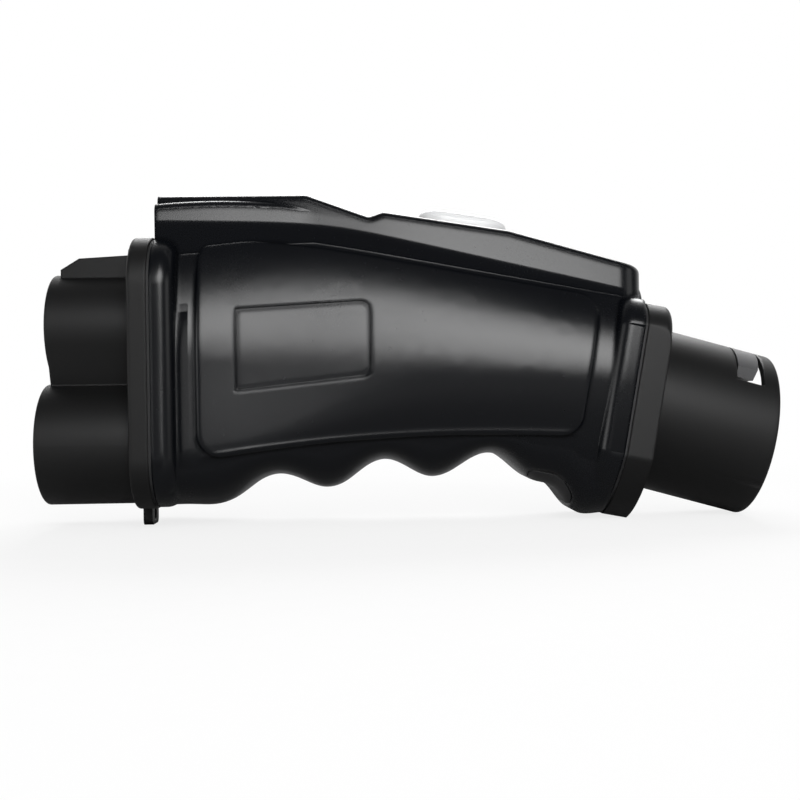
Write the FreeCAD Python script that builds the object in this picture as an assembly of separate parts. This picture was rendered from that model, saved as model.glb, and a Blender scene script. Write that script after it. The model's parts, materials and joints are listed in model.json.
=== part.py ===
import FreeCAD, Part

import math
import os

# A hand-held charging adapter. A two-lobed charging inlet is at the left, a round plug with a latch claw at the
# right, and a moulded two-piece housing with finger grooves and a thumb button is between them.
# Millimetres. X runs along the object from the inlet to the plug, Y points away from the viewer, Z is up.
# The inlet's axis is level. The plug's axis dips to the right, and the seam, the flange and the rim lean with it,
# by a smaller angle. While the pieces are made, the ground is at Z = 0 and X = 0 is at the middle of the grip.
# On export, the middle of the whole length is moved to X = 0.

Vector = FreeCAD.Vector
AXIS_X = Vector(1, 0, 0)
AXIS_Y = Vector(0, 1, 0)
AXIS_Z = Vector(0, 0, 1)
ORIGIN = Vector(0, 0, 0)

# Fits shared by every piece
SLIDE_GAP = 0.4
SEAT_GAP = 0.1
PARTING_GAP = 0.1
SCREW_GAP = 0.25
OVERRUN = 60.0

# Inlet flange
SEAM_LEFT = -94.6
GASKET_THICKNESS = 1.0
INLET_FLANGE_THICKNESS = 7.4
INLET_FLANGE_HALF_WIDTH = 42.0
INLET_FLANGE_BOTTOM = 8.2
INLET_FLANGE_TOP = 113.6
INLET_FLANGE_CORNER = 20.0
INLET_FLANGE_EDGE_ROUND = 1.2

# Inlet lobes
LOBE_LENGTH = 37.6
UPPER_LOBE_RADIUS = 22.4
UPPER_LOBE_HEIGHT = 79.5
LOWER_LOBE_RADIUS = 24.0
LOWER_LOBE_HEIGHT = 33.4
LOWER_LOBE_HALF_WIDTH = 34.0
UPPER_LOBE_SETBACK = 1.4
WAIST_LEAN = 18.4
LOBE_WALL = 2.6
LOBE_RIM_ROUND = 0.9
LOBE_CAVITY_DEPTH = 32.0

# Latch ramp on the upper lobe
RAMP_HALF_WIDTH = 9.0
RAMP_TOP = 109.2
RAMP_FRONT_TOP = 107.8
RAMP_NOSE_HEIGHT = 103.3
RAMP_NOSE_SETBACK = 5.0
RAMP_CHAMFER_LENGTH = 7.4

# Inlet contacts
POWER_PIN_RADIUS = 4.0
POWER_PIN_SPACING = 32.0
POWER_PIN_LENGTH = 20.0
POWER_PIN_TAIL_RADIUS = 4.6
POWER_PIN_TAIL = 14.0
POWER_SLEEVE_RADIUS = 9.5
POWER_SLEEVE_BORE = 8.0
POWER_SLEEVE_LENGTH = 22.0
INLET_CORE_RADIUS = 14.5
INLET_CORE_LENGTH = 24.0
SIGNAL_PIN_RADIUS = 1.4
SIGNAL_PIN_LENGTH = 18.0
SIGNAL_PIN_RECESS_RADIUS = 2.6
SIGNAL_PIN_OFFSET = 7.6
SIGNAL_PIN_DROP = 3.4
EARTH_PIN_RADIUS = 1.8
EARTH_PIN_DROP = -6.8
PIN_TAIL = 6.0

# Tether eyelet
EYELET_HALF_WIDTH = 7.0
EYELET_THICKNESS = 3.6
EYELET_OVERHANG = 1.5
EYELET_HOLE_RADIUS = 2.3
EYELET_CORNER = 2.5

# Plug, in its own frame: the seam's centre is its origin and its axis runs along local X.
# The flange, the seam and the rim lie in planes that dip less than the barrel's axis does.
PLUG_TILT = 15.7
SEAM_TILT = 11.0
PLUG_SEAM_X = 88.6
PLUG_SEAM_Z = 48.2
PLUG_FLANGE_THICKNESS = 10.0
PLUG_FLANGE_TOP = 38.2
PLUG_FACET_TOP_HALF_WIDTH = 35.5
PLUG_FACET_BOTTOM_HALF_WIDTH = 38.0
PLUG_TOP_FLAT = 24.0
PLUG_BOTTOM_FLAT = 12.0
PLUG_FACET_TOP = 28.6
PLUG_FACET_BOTTOM = -21.3
PLUG_TOP_BULGE = 1.6
PLUG_BOTTOM_BULGE = 4.2
PLUG_FLANGE_EDGE_ROUND = 3.0
BARREL_RADIUS = 32.8
BARREL_LENGTH = 48.0
BARREL_WALL = 3.0
BARREL_RIM_ROUND = 1.2
CARRIER_RECESS = 7.0
CARRIER_FLAT_HEIGHT = 14.0
CARRIER_LIP_RADIUS = 33.0
CARRIER_LIP_THICKNESS = 2.9

# Window and claw near the plug's rim
WINDOW_SETBACK = 8.2
WINDOW_LENGTH = 11.3
WINDOW_SILL = 18.4
CLAW_HALF_WIDTH = 22.0
CLAW_END_GAP = 0.8
CLAW_SLANT = 2.6
CLAW_CORE_HALF_WIDTH = 8.0

# Plug contacts
POWER_SOCKET_RADIUS = 6.6
POWER_SOCKET_BORE = 5.0
POWER_SOCKET_SPACING = 32.0
POWER_SOCKET_DEPTH = 26.0
POWER_SOCKET_TAIL = 13.0
SIGNAL_SOCKET_RADIUS = 2.2
SIGNAL_SOCKET_BORE = 1.3
SIGNAL_SOCKET_SPACING = 9.0
SIGNAL_SOCKET_UPPER = 10.6
SIGNAL_SOCKET_LOWER = -14.5
SIGNAL_SOCKET_DEPTH = 16.0
SIGNAL_SOCKET_TAIL = 5.0
SIGNAL_SOCKET_COUNT = 3
EARTH_SOCKET_RADIUS = 3.4
EARTH_SOCKET_BORE = 2.1
EARTH_SOCKET_HEIGHT = -22.5
EARTH_SOCKET_TAIL = 12.0
SOCKET_SETBACK = 1.5

# Housing body
WALL = 2.8
BODY_HALF_WIDTH_WAIST = 31.0
BODY_HALF_WIDTH_ENDS = 37.0
BODY_WAIST_X = 12.0
BODY_REACH = 100.0
BODY_MID_LEFT = 66.0
BODY_MID_RIGHT = 52.0
UNDERSIDE_HALF_WIDTH = 11.0
BROW_FOOT_LEFT = 114.4
BROW_FOOT_SLOPE = 0.19
BROW_FOOT_BEND_X = -46.0
CREASE_HEIGHT = 35.0
CREASE_PEAK_X = 26.0
CREASE_FALL = 0.00075

# Underside with the finger grooves
UNDERSIDE_LEFT = 8.7
UNDERSIDE_RIGHT = 2.2
LEFT_PAD_END = -73.5
GROOVE_PITCH = 41.6
GROOVE_DEPTH = 7.4
GROOVE_MIDDLE_X = -7.6
GROOVE_MEAN_HEIGHT = 20.1
GROOVE_RISE = 0.085
GROOVE_MIDDLE_EXTRA = 1.6
PORT_SLOPE_TOP_X = 57.5
PORT_SLOPE_TOP_Z = 14.6
RIGHT_PAD_START = 72.0
STATION_STEP = 8.4

# Raised panel on each side
PANEL_THICKNESS = 2.0
PANEL_LEFT = -78.5
PANEL_RIGHT_INSET = 17.0
PANEL_CORNER = 9.0
PANEL_EDGE_ROUND = 1.6

# Label recess on the near panel
LABEL_LEFT = -63.4
LABEL_RIGHT = -11.6
LABEL_BOTTOM_LEFT = 53.4
LABEL_BOTTOM_RIGHT = 58.6
LABEL_TOP_LEFT = 85.0
LABEL_TOP_RIGHT = 88.1
LABEL_CORNER = 4.0
LABEL_SHARP_CORNER = 0.8
LABEL_GROOVE_WIDTH = 0.9
LABEL_GROOVE_DEPTH = 0.9
LABEL_DEPTH = 0.35

# Collars at the housing's ends
COLLAR_INSET = 0.5
LEFT_COLLAR_LENGTH = 9.0
LEFT_COLLAR_ROUND = 6.0
RIGHT_COLLAR_LENGTH = 10.0
RIGHT_COLLAR_ROUND = 5.0
RIGHT_COLLAR_TOP = 40.0
RIGHT_COLLAR_TOP_HALF_WIDTH = 24.0

# Ridge on top
RIDGE_HALF_WIDTH = 20.0
RIDGE_ROUND = 3.0
RIDGE_END_ROUND = 10.0
RIDGE_BOTTOM = 72.0
HUMP_TOP = 130.8
HUMP_END_X = -36.3
DIP_X = -11.8
DIP_Z = 121.9
DECK_START_X = -6.0
DECK_START_Z = 123.8
DECK_END_X = 44.1
DECK_END_Z = 115.8
RIDGE_END_X = 97.4
RIDGE_END_Z = 100.5
SHOULDER_HALF_WIDTH = 27.0
SHOULDER_END_X = -30.0
SHOULDER_END_HALF_WIDTH = 19.6
SHOULDER_TOP_LEFT = 126.6
SHOULDER_TOP_MIDDLE = 128.2
SHOULDER_TOP_RIGHT = 125.9
SHOULDER_ROUND = 3.4

# Thumb button
BUTTON_X = 26.4
BUTTON_LENGTH = 36.4
BUTTON_WIDTH = 20.0
BUTTON_PROUD = 5.9
BUTTON_TOP_ROUND = 3.6
BUTTON_SKIRT = 5.0
BUTTON_RIM = 1.6
BUTTON_RIM_THICKNESS = 1.6
BUTTON_TRAVEL = 2.0
BUTTON_STEM_HALF = 3.0

# Latch lever
PIVOT_X = -20.0
PIVOT_Z = 108.0
PIVOT_PIN_RADIUS = 2.5
LEVER_HALF_WIDTH = 6.0
LEVER_THICKNESS = 5.0
LEVER_ARM_HEIGHT = 26.0
PIVOT_BOSS_RADIUS = 5.5
PIVOT_RUNNING_GAP = 0.05
LEVER_KNEE_X = 48.0
LEVER_KNEE_Z = 103.5
SPRING_X = 42.0
SPRING_RADIUS = 3.6
SPRING_WIRE = 0.6
SPRING_TURNS = 5
SPRING_LENGTH = 14.0
SPRING_PERCH_RADIUS = 6.0

# Screws
SCREW_RADIUS = 1.6
SCREW_HEAD_RADIUS = 3.0
SCREW_HEAD_HEIGHT = 2.4
SCREW_DRIVE_RADIUS = 1.2
SCREW_DRIVE_DEPTH = 1.4
SCREW_LENGTH = 16.0
BOSS_RADIUS = 5.0
HOUSING_SCREW_PLACES = ((-84.0, 21.0), (-84.0, 102.0), (-45.0, 112.0), (-6.0, 53.0), (62.0, 76.0), (73.0, 13.0))
HOUSING_SCREW_REACH = 10.0
INLET_SCREW_INSET = 8.5
PLUG_SCREW_RADIUS = 38.2
PLUG_SCREW_ANGLES = (42.0, 138.0, 222.0, 318.0)

# Conductors and electronics
BUSBAR_THICKNESS = 3.0
BUSBAR_HALF_WIDTH = 6.0
BUSBAR_STRAIGHT = 12.0
EARTH_STRIP_THICKNESS = 1.6
EARTH_STRIP_HALF_WIDTH = 3.0
BOARD_LENGTH = 92.0
BOARD_HEIGHT = 34.0
BOARD_THICKNESS = 1.6
BOARD_FACE_Y = 13.0
BOARD_LEFT = -52.0
BOARD_BOTTOM = 63.0
BOARD_POST_RADIUS = 3.4
BOARD_POST_INSET = 5.0
BOARD_SCREW_LENGTH = 8.0
CHIP_SIZE = 9.0
CHIP_THICKNESS = 1.8
CELL_RADIUS = 9.15
CELL_LENGTH = 65.0
CELL_LEFT = -44.0
CELL_Y = -12.2
CELL_Z = 76.0
CRADLE_WALL = 1.8
CRADLE_DEPTH = 9.0

# Service port under the grip
PORT_START_X = 50.0
PORT_END_X = 66.5
PORT_HALF_WIDTH = 24.5
PORT_COVER_THICKNESS = 2.2
PORT_STUB_HALF_WIDTH = 5.6
PORT_STUB_HALF_HEIGHT = 2.2
PORT_STUB_DEPTH = 2.0
PORT_CORNER = 4.0
PORT_SOCKET_DEPTH = 12.0
PORT_SOCKET_WALL = 0.5
PORT_SOCKET_GAP = 1.6

POWER_PIN_SIDES = {"positive": -1, "negative": 1}


def box(x0, x1, y0, y1, z0, z1):
    return Part.makeBox(x1 - x0, y1 - y0, z1 - z0, Vector(x0, y0, z0))


def rod(start, direction, radius, length):
    return Part.makeCylinder(radius, length, start, direction)


def prism_along_y(wire, half_width):
    face = Part.Face(wire)
    face.translate(Vector(0, -half_width, 0))
    return face.extrude(Vector(0, 2 * half_width, 0))


def side_outline(points):
    """A closed outline in the XZ plane from (x, z) pairs."""
    corners = [Vector(x, 0, z) for x, z in points]
    return Part.makePolygon(corners + corners[:1])


def rounded_block(x0, x1, half_width, z0, z1, corner):
    """A block along X whose four long edges are rounded."""
    block = box(x0, x1, -half_width, half_width, z0, z1)
    long_edges = [edge for edge in block.Edges if edge_runs_along(edge, AXIS_X)]
    return block.makeFillet(corner, long_edges)


def edge_runs_along(edge, direction):
    start = edge.valueAt(edge.FirstParameter)
    end = edge.valueAt(edge.LastParameter)
    span = end - start
    return span.Length > 0 and abs(abs(span.normalize().dot(direction)) - 1) < 1e-6


def edges_near_x(shape, x, slack=0.05):
    return [edge for edge in shape.Edges if abs(edge.BoundBox.XMin - x) < slack and abs(edge.BoundBox.XMax - x) < slack]


def arc_between(start, end, bulge):
    """An arc that stands off its chord by bulge, on the side away from the plug's axis."""
    middle = (start + end) * 0.5
    outward = Vector(0, middle.y, middle.z).normalize()
    chord = (end - start).normalize()
    normal = outward - chord * outward.dot(chord)
    return Part.Arc(start, middle + normal.normalize() * bulge, end).toShape()


def blend(low, high, share):
    """A smooth step from low to high as share goes from 0 to 1."""
    held = min(max(share, 0.0), 1.0)
    return low + (high - low) * (1 - math.cos(math.pi * held)) / 2


def dipped(shape, tilt):
    """Moves a shape from a frame whose origin is the seam's centre and whose X dips by tilt."""
    moved = shape.copy()
    moved.rotate(ORIGIN, AXIS_Y, tilt)
    moved.translate(Vector(PLUG_SEAM_X, 0, PLUG_SEAM_Z))
    return moved


def dipped_point(along, up, tilt):
    angle = math.radians(tilt)
    x = PLUG_SEAM_X + along * math.cos(angle) + up * math.sin(angle)
    z = PLUG_SEAM_Z - along * math.sin(angle) + up * math.cos(angle)
    return Vector(x, 0, z)


def to_plug(shape):
    """Moves a shape from the plug's own frame to its place on the object."""
    return dipped(shape, PLUG_TILT)


def to_seam(shape):
    """Moves a shape from the seam's frame, whose X is square to the seam, to its place on the object."""
    return dipped(shape, SEAM_TILT)


def plug_point(along, up):
    """The place on the object of a point in the plug's middle plane."""
    return dipped_point(along, up, PLUG_TILT)


def seam_point(along, up):
    """The place on the object of a point in the seam frame's middle plane."""
    return dipped_point(along, up, SEAM_TILT)


def plug_flange_bottom():
    """How far below the seam's centre the flange's lower flat lies, so that its front edge is on the ground."""
    angle = math.radians(SEAM_TILT)
    front_drop = (GASKET_THICKNESS + PLUG_FLANGE_THICKNESS) * math.sin(angle)
    return (PLUG_SEAM_Z - front_drop) / math.cos(angle)


# Housing

def groove_wave(x):
    offset = x - GROOVE_MIDDLE_X
    swing = math.cos(2 * math.pi * offset / GROOVE_PITCH)
    extra = GROOVE_MIDDLE_EXTRA if abs(offset) < GROOVE_PITCH / 2 else 0
    return GROOVE_MEAN_HEIGHT + GROOVE_RISE * offset + GROOVE_DEPTH / 2 * swing + extra * (1 + swing) / 2


def underside(x):
    """The height of the grip's underside, in the middle plane."""
    first = GROOVE_MIDDLE_X - GROOVE_PITCH
    last = GROOVE_MIDDLE_X + GROOVE_PITCH
    if x < first:
        share = (x - LEFT_PAD_END) / (first - LEFT_PAD_END)
        return blend(UNDERSIDE_LEFT, groove_wave(first), share)
    if x < last:
        return groove_wave(x)
    if x < PORT_SLOPE_TOP_X:
        share = (x - last) / (PORT_SLOPE_TOP_X - last)
        return blend(groove_wave(last), PORT_SLOPE_TOP_Z, share)
    share = (x - PORT_SLOPE_TOP_X) / (RIGHT_PAD_START - PORT_SLOPE_TOP_X)
    return blend(PORT_SLOPE_TOP_Z, UNDERSIDE_RIGHT, share)


def crease(x):
    """The height of the side panel's lower edge."""
    return CREASE_HEIGHT - CREASE_FALL * (x - CREASE_PEAK_X) ** 2


def brow_foot(x):
    """The height at which the belly leaves the ridge's side."""
    fall = BROW_FOOT_SLOPE * (x - BROW_FOOT_BEND_X)
    return BROW_FOOT_LEFT - math.log1p(math.exp(fall / 2)) * 2


def body_half_width(x):
    share = (x - BODY_WAIST_X) / BODY_REACH
    return BODY_HALF_WIDTH_WAIST + (BODY_HALF_WIDTH_ENDS - BODY_HALF_WIDTH_WAIST) * share ** 2


def quarter_arc(centre, rise, reach):
    """A quarter of an ellipse in a YZ plane, from the point above or below the centre to the one beside it."""
    crest = centre + Vector(0, 0, rise)
    corner = centre + Vector(0, reach, rise)
    side = centre + Vector(0, reach, 0)
    curve = Part.BSplineCurve()
    curve.buildFromPolesMultsKnots([crest, corner, side], [3, 3], [0, 1], False, 2, [1, math.sqrt(0.5), 1])
    return curve.toShape()


def body_section(x, grow, lift):
    """One closed section of the belly at x. grow widens it, and lift raises its top and lowers its underside."""
    half_width = body_half_width(x) + grow
    share = (x - SEAM_LEFT) / (RIDGE_END_X - SEAM_LEFT)
    middle = BODY_MID_LEFT + (BODY_MID_RIGHT - BODY_MID_LEFT) * share
    reach = math.sqrt(1 - (RIDGE_HALF_WIDTH / body_half_width(x)) ** 2)
    top = middle + (brow_foot(x) - middle) / reach + lift
    low = underside(x) - lift
    side_end = max(crease(x), low + WALL)
    edges = [
        quarter_arc(Vector(x, 0, middle), top - middle, half_width),
        Part.makeLine(Vector(x, half_width, middle), Vector(x, half_width, side_end)),
        quarter_arc(Vector(x, UNDERSIDE_HALF_WIDTH, side_end), low - side_end, half_width - UNDERSIDE_HALF_WIDTH),
        Part.makeLine(Vector(x, UNDERSIDE_HALF_WIDTH, low), Vector(x, -UNDERSIDE_HALF_WIDTH, low)),
        quarter_arc(Vector(x, -UNDERSIDE_HALF_WIDTH, side_end), low - side_end, UNDERSIDE_HALF_WIDTH - half_width),
        Part.makeLine(Vector(x, -half_width, side_end), Vector(x, -half_width, middle)),
        quarter_arc(Vector(x, 0, middle), top - middle, -half_width),
    ]
    return Part.Wire(edges)


def belly(grow, lift):
    """The body between the collars, without its ridge."""
    first = SEAM_LEFT - STATION_STEP / 2
    count = math.ceil((RIDGE_END_X + STATION_STEP / 2 - first) / STATION_STEP)
    sections = [body_section(first + STATION_STEP * i, grow, lift) for i in range(count + 1)]
    return Part.makeLoft(sections, True, False)


def panel():
    """The raised panel that covers both sides of the belly."""
    count = 5
    right_low = seam_point(-PANEL_RIGHT_INSET, PLUG_FACET_BOTTOM)
    right_high = seam_point(-PANEL_RIGHT_INSET, PLUG_FACET_TOP + PANEL_CORNER)
    low_right_x = right_low.x + (crease(right_low.x) - right_low.z) * math.tan(math.radians(SEAM_TILT))
    low_xs = [PANEL_LEFT + (low_right_x - PANEL_LEFT) * i / count for i in range(count + 1)]
    high_xs = [PANEL_LEFT + (right_high.x - PANEL_LEFT) * i / count for i in range(count + 1)]
    low_points = [Vector(x, 0, crease(x)) for x in low_xs]
    high_points = [Vector(x, 0, brow_foot(x) - PANEL_THICKNESS) for x in high_xs]
    low_curve = Part.BSplineCurve()
    low_curve.interpolate(low_points)
    high_curve = Part.BSplineCurve()
    high_curve.interpolate(high_points)
    outline = Part.Wire([
        low_curve.toShape(),
        Part.makeLine(low_points[-1], high_points[-1]),
        high_curve.toShape(),
        Part.makeLine(high_points[0], low_points[0]),
    ])
    block = prism_along_y(outline, OVERRUN)
    corners = [edge for edge in block.Edges if edge_runs_along(edge, AXIS_Y)]
    block = block.makeFillet(PANEL_CORNER, corners)
    raised = belly(PANEL_THICKNESS, PANEL_THICKNESS / 4).common(block)
    rims = [edge for edge in raised.Edges if not edge_runs_along(edge, AXIS_Y)]
    return raised.makeFillet(PANEL_EDGE_ROUND, rims)


def ridge(shrink):
    """The ridge on top, with the hump, the dip and the deck for the button."""
    end_x = RIDGE_END_X - shrink
    outline = side_outline([
        (SEAM_LEFT, HUMP_TOP - shrink),
        (HUMP_END_X, HUMP_TOP - shrink),
        (DIP_X, DIP_Z - shrink),
        (DECK_START_X, DECK_START_Z - shrink),
        (DECK_END_X, DECK_END_Z - shrink),
        (end_x, RIDGE_END_Z - shrink),
        (end_x, RIDGE_BOTTOM),
        (SEAM_LEFT, RIDGE_BOTTOM),
    ])
    body = prism_along_y(outline, RIDGE_HALF_WIDTH - shrink)
    ends = [edge for edge in body.Edges if edge_runs_along(edge, AXIS_Z) and edge.BoundBox.XMin > end_x - 1]
    body = body.makeFillet(RIDGE_END_ROUND - shrink, ends)
    if shrink > 0:
        return body
    bends = [
        edge for edge in body.Edges
        if edge_runs_along(edge, AXIS_Y) and SEAM_LEFT + 1 < edge.BoundBox.XMin < RIDGE_END_X - 1
    ]
    body = body.makeFillet(RIDGE_ROUND, bends)
    rims = [
        edge for edge in body.Edges
        if edge.BoundBox.ZMin > RIDGE_BOTTOM + 1 and not edge_runs_along(edge, AXIS_Y)
        and not edge_runs_along(edge, AXIS_Z)
    ]
    return body.makeFillet(RIDGE_ROUND, rims)


def shoulder():
    """The wider left end of the ridge, whose arched top lies just under the hump."""
    outline = Part.Wire([
        Part.Arc(
            Vector(SEAM_LEFT, 0, SHOULDER_TOP_LEFT),
            Vector((SEAM_LEFT + SHOULDER_END_X) / 2, 0, SHOULDER_TOP_MIDDLE),
            Vector(SHOULDER_END_X, 0, SHOULDER_TOP_RIGHT),
        ).toShape(),
        Part.makeLine(Vector(SHOULDER_END_X, 0, SHOULDER_TOP_RIGHT), Vector(SHOULDER_END_X, 0, RIDGE_BOTTOM)),
        Part.makeLine(Vector(SHOULDER_END_X, 0, RIDGE_BOTTOM), Vector(SEAM_LEFT, 0, RIDGE_BOTTOM)),
        Part.makeLine(Vector(SEAM_LEFT, 0, RIDGE_BOTTOM), Vector(SEAM_LEFT, 0, SHOULDER_TOP_LEFT)),
    ])
    plan = Part.makePolygon([
        Vector(SEAM_LEFT, -SHOULDER_HALF_WIDTH, RIDGE_BOTTOM),
        Vector(SHOULDER_END_X, -SHOULDER_END_HALF_WIDTH, RIDGE_BOTTOM),
        Vector(SHOULDER_END_X, SHOULDER_END_HALF_WIDTH, RIDGE_BOTTOM),
        Vector(SEAM_LEFT, SHOULDER_HALF_WIDTH, RIDGE_BOTTOM),
        Vector(SEAM_LEFT, -SHOULDER_HALF_WIDTH, RIDGE_BOTTOM),
    ])
    wedge = Part.Face(plan).extrude(Vector(0, 0, OVERRUN + RIDGE_ROUND))
    body = prism_along_y(outline, OVERRUN).common(wedge)
    rims = [
        edge for edge in body.Edges
        if edge.BoundBox.ZMin > SHOULDER_TOP_RIGHT - 1 and abs(edge.BoundBox.Center.y) > 1
    ]
    return body.makeFillet(SHOULDER_ROUND, rims)


def plug_outline(along, inset, top, top_flat):
    """The flange's outline in the seam's frame, with its top at a height that the housing's collar raises."""
    bottom = -plug_flange_bottom() + inset
    top_right = Vector(along, top_flat, top - inset)
    side_high = Vector(along, PLUG_FACET_TOP_HALF_WIDTH - inset, PLUG_FACET_TOP)
    side_low = Vector(along, PLUG_FACET_BOTTOM_HALF_WIDTH - inset, PLUG_FACET_BOTTOM)
    bottom_right = Vector(along, PLUG_BOTTOM_FLAT, bottom)
    points = [top_right, side_high, side_low, bottom_right]
    others = [Vector(point.x, -point.y, point.z) for point in points]
    return Part.Wire([
        arc_between(top_right, side_high, PLUG_TOP_BULGE),
        Part.makeLine(side_high, side_low),
        arc_between(side_low, bottom_right, PLUG_BOTTOM_BULGE),
        Part.makeLine(bottom_right, others[3]),
        arc_between(others[3], others[2], PLUG_BOTTOM_BULGE),
        Part.makeLine(others[2], others[1]),
        arc_between(others[1], others[0], PLUG_TOP_BULGE),
        Part.makeLine(others[0], top_right),
    ])


def left_collar():
    block = rounded_block(
        SEAM_LEFT, SEAM_LEFT + LEFT_COLLAR_LENGTH, INLET_FLANGE_HALF_WIDTH - COLLAR_INSET,
        INLET_FLANGE_BOTTOM + COLLAR_INSET, INLET_FLANGE_TOP - COLLAR_INSET, INLET_FLANGE_CORNER - COLLAR_INSET,
    )
    return block.makeFillet(LEFT_COLLAR_ROUND, edges_near_x(block, SEAM_LEFT + LEFT_COLLAR_LENGTH))


def right_collar():
    outline = plug_outline(-RIGHT_COLLAR_LENGTH, COLLAR_INSET, RIGHT_COLLAR_TOP, RIGHT_COLLAR_TOP_HALF_WIDTH)
    block = Part.Face(outline).extrude(Vector(RIGHT_COLLAR_LENGTH, 0, 0))
    block = block.makeFillet(RIGHT_COLLAR_ROUND, edges_near_x(block, -RIGHT_COLLAR_LENGTH))
    return to_seam(block)


def beyond_the_seams():
    """What lies past the housing's two end planes."""
    past_left = box(SEAM_LEFT - OVERRUN, SEAM_LEFT, -OVERRUN, OVERRUN, -OVERRUN, 3 * OVERRUN)
    past_right = to_seam(box(0, OVERRUN, -OVERRUN, OVERRUN, -2 * OVERRUN, 2 * OVERRUN))
    return [past_left, past_right]


def housing_form():
    """The housing as one solid, with no openings."""
    form = belly(0, 0).fuse([panel(), ridge(0), shoulder(), left_collar(), right_collar()])
    form = form.cut(beyond_the_seams())
    return form.removeSplitter()


def housing_cavity():
    """The space inside the housing, with the openings through its end walls."""
    space = belly(-WALL, -WALL).fuse(ridge(WALL))
    port_pad = box(
        PORT_START_X - 2 * WALL, PORT_END_X + 2 * WALL, -PORT_HALF_WIDTH - 2 * WALL, PORT_HALF_WIDTH + 2 * WALL,
        -OVERRUN, CREASE_HEIGHT,
    ).cut(belly(-2 * WALL, -2 * WALL))
    keep = [
        box(SEAM_LEFT - OVERRUN, SEAM_LEFT + WALL, -OVERRUN, OVERRUN, -OVERRUN, 3 * OVERRUN),
        to_seam(box(-WALL, OVERRUN, -OVERRUN, OVERRUN, -2 * OVERRUN, 2 * OVERRUN)),
        port_pad,
    ]
    space = space.cut(keep)
    inlet_opening = rounded_block(
        SEAM_LEFT - WALL, SEAM_LEFT + 2 * WALL, LOWER_LOBE_HALF_WIDTH - 2 * WALL,
        INLET_FLANGE_BOTTOM + 4 * WALL, UPPER_LOBE_HEIGHT + UPPER_LOBE_RADIUS - 2 * WALL, UPPER_LOBE_RADIUS / 2,
    )
    return space.fuse([inlet_opening, plug_passage()])


def plug_passage():
    """The bore from the housing's inside through the seam to the barrel's inside."""
    reach = 3 * WALL
    return to_plug(rod(Vector(-reach, 0, 0), AXIS_X, BARREL_RADIUS - BARREL_WALL, 2 * reach))


def label_outline(inset):
    """The label's place on the near panel: its left corners are nearly sharp and its right ones are round."""
    wire = side_outline([
        (LABEL_LEFT + inset, LABEL_BOTTOM_LEFT + inset),
        (LABEL_RIGHT - inset, LABEL_BOTTOM_RIGHT + inset),
        (LABEL_RIGHT - inset, LABEL_TOP_RIGHT - inset),
        (LABEL_LEFT + inset, LABEL_TOP_LEFT - inset),
    ])
    face = Part.Face(wire)
    face.translate(Vector(0, -OVERRUN, 0))
    block = face.extrude(Vector(0, OVERRUN, 0))
    middle = (LABEL_LEFT + LABEL_RIGHT) / 2
    corners = [edge for edge in block.Edges if edge_runs_along(edge, AXIS_Y) and edge.BoundBox.XMin > middle]
    block = block.makeFillet(LABEL_CORNER - inset, corners)
    corners = [edge for edge in block.Edges if edge_runs_along(edge, AXIS_Y) and edge.BoundBox.XMax < middle]
    return block.makeFillet(LABEL_SHARP_CORNER, corners)


def label_recess():
    """A shallow sunk field with a finer, deeper groove round its edge."""
    field = label_outline(LABEL_GROOVE_WIDTH).cut(belly(PANEL_THICKNESS - LABEL_DEPTH, 0))
    groove = label_outline(0).cut(label_outline(LABEL_GROOVE_WIDTH))
    groove = groove.cut(belly(PANEL_THICKNESS - LABEL_GROOVE_DEPTH, 0))
    return [field, groove]


def boss_to_wall(x, z, side, radius, start, body):
    """A boss that runs from the plane y = start to the housing's wall, on one side."""
    post = rod(Vector(x, side * start, z), Vector(0, side, 0), radius, OVERRUN)
    return post.common(body)


def deck_angle():
    return math.degrees(math.atan2(DECK_START_Z - DECK_END_Z, DECK_END_X - DECK_START_X))


def deck_height(x):
    share = (x - DECK_START_X) / (DECK_END_X - DECK_START_X)
    return DECK_START_Z + (DECK_END_Z - DECK_START_Z) * share


def to_deck(shape):
    """Moves a shape from the button's own frame to its place on the deck."""
    moved = shape.copy()
    moved.rotate(ORIGIN, AXIS_Y, deck_angle())
    moved.translate(Vector(BUTTON_X, 0, deck_height(BUTTON_X)))
    return moved


def pill(length, width, low, high):
    """An upright block with round ends, centred on its own origin."""
    radius = width / 2
    reach = length / 2 - radius
    middle = box(-reach, reach, -radius, radius, low, high)
    ends = [rod(Vector(side * reach, 0, low), AXIS_Z, radius, high - low) for side in (-1, 1)]
    return middle.fuse(ends).removeSplitter()


def pivot_bosses(body, side):
    start = LEVER_HALF_WIDTH + SLIDE_GAP
    return boss_to_wall(PIVOT_X, PIVOT_Z, side, PIVOT_BOSS_RADIUS, start, body)


def port_frame(shape):
    """Moves a shape from the port's own frame, whose Z points into the grip, to its place."""
    moved = shape.copy()
    moved.rotate(ORIGIN, AXIS_Y, port_slope())
    middle = port_middle()
    moved.translate(middle)
    return moved


def port_middle():
    x = (PORT_START_X + PORT_END_X) / 2
    return Vector(x, 0, underside(x))


def port_slope():
    fall = underside(PORT_START_X) - underside(PORT_END_X)
    return math.degrees(math.atan2(fall, PORT_END_X - PORT_START_X))


def port_layer(depth, gap):
    """The skin of the underside at the port, down to a depth, with a gap round it."""
    block = box(
        PORT_START_X - gap, PORT_END_X + gap, -PORT_HALF_WIDTH - gap, PORT_HALF_WIDTH + gap,
        -OVERRUN, CREASE_HEIGHT,
    )
    uprights = [edge for edge in block.Edges if edge_runs_along(edge, AXIS_Z)]
    return block.makeFillet(PORT_CORNER, uprights).cut(belly(-depth, -depth))


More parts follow.
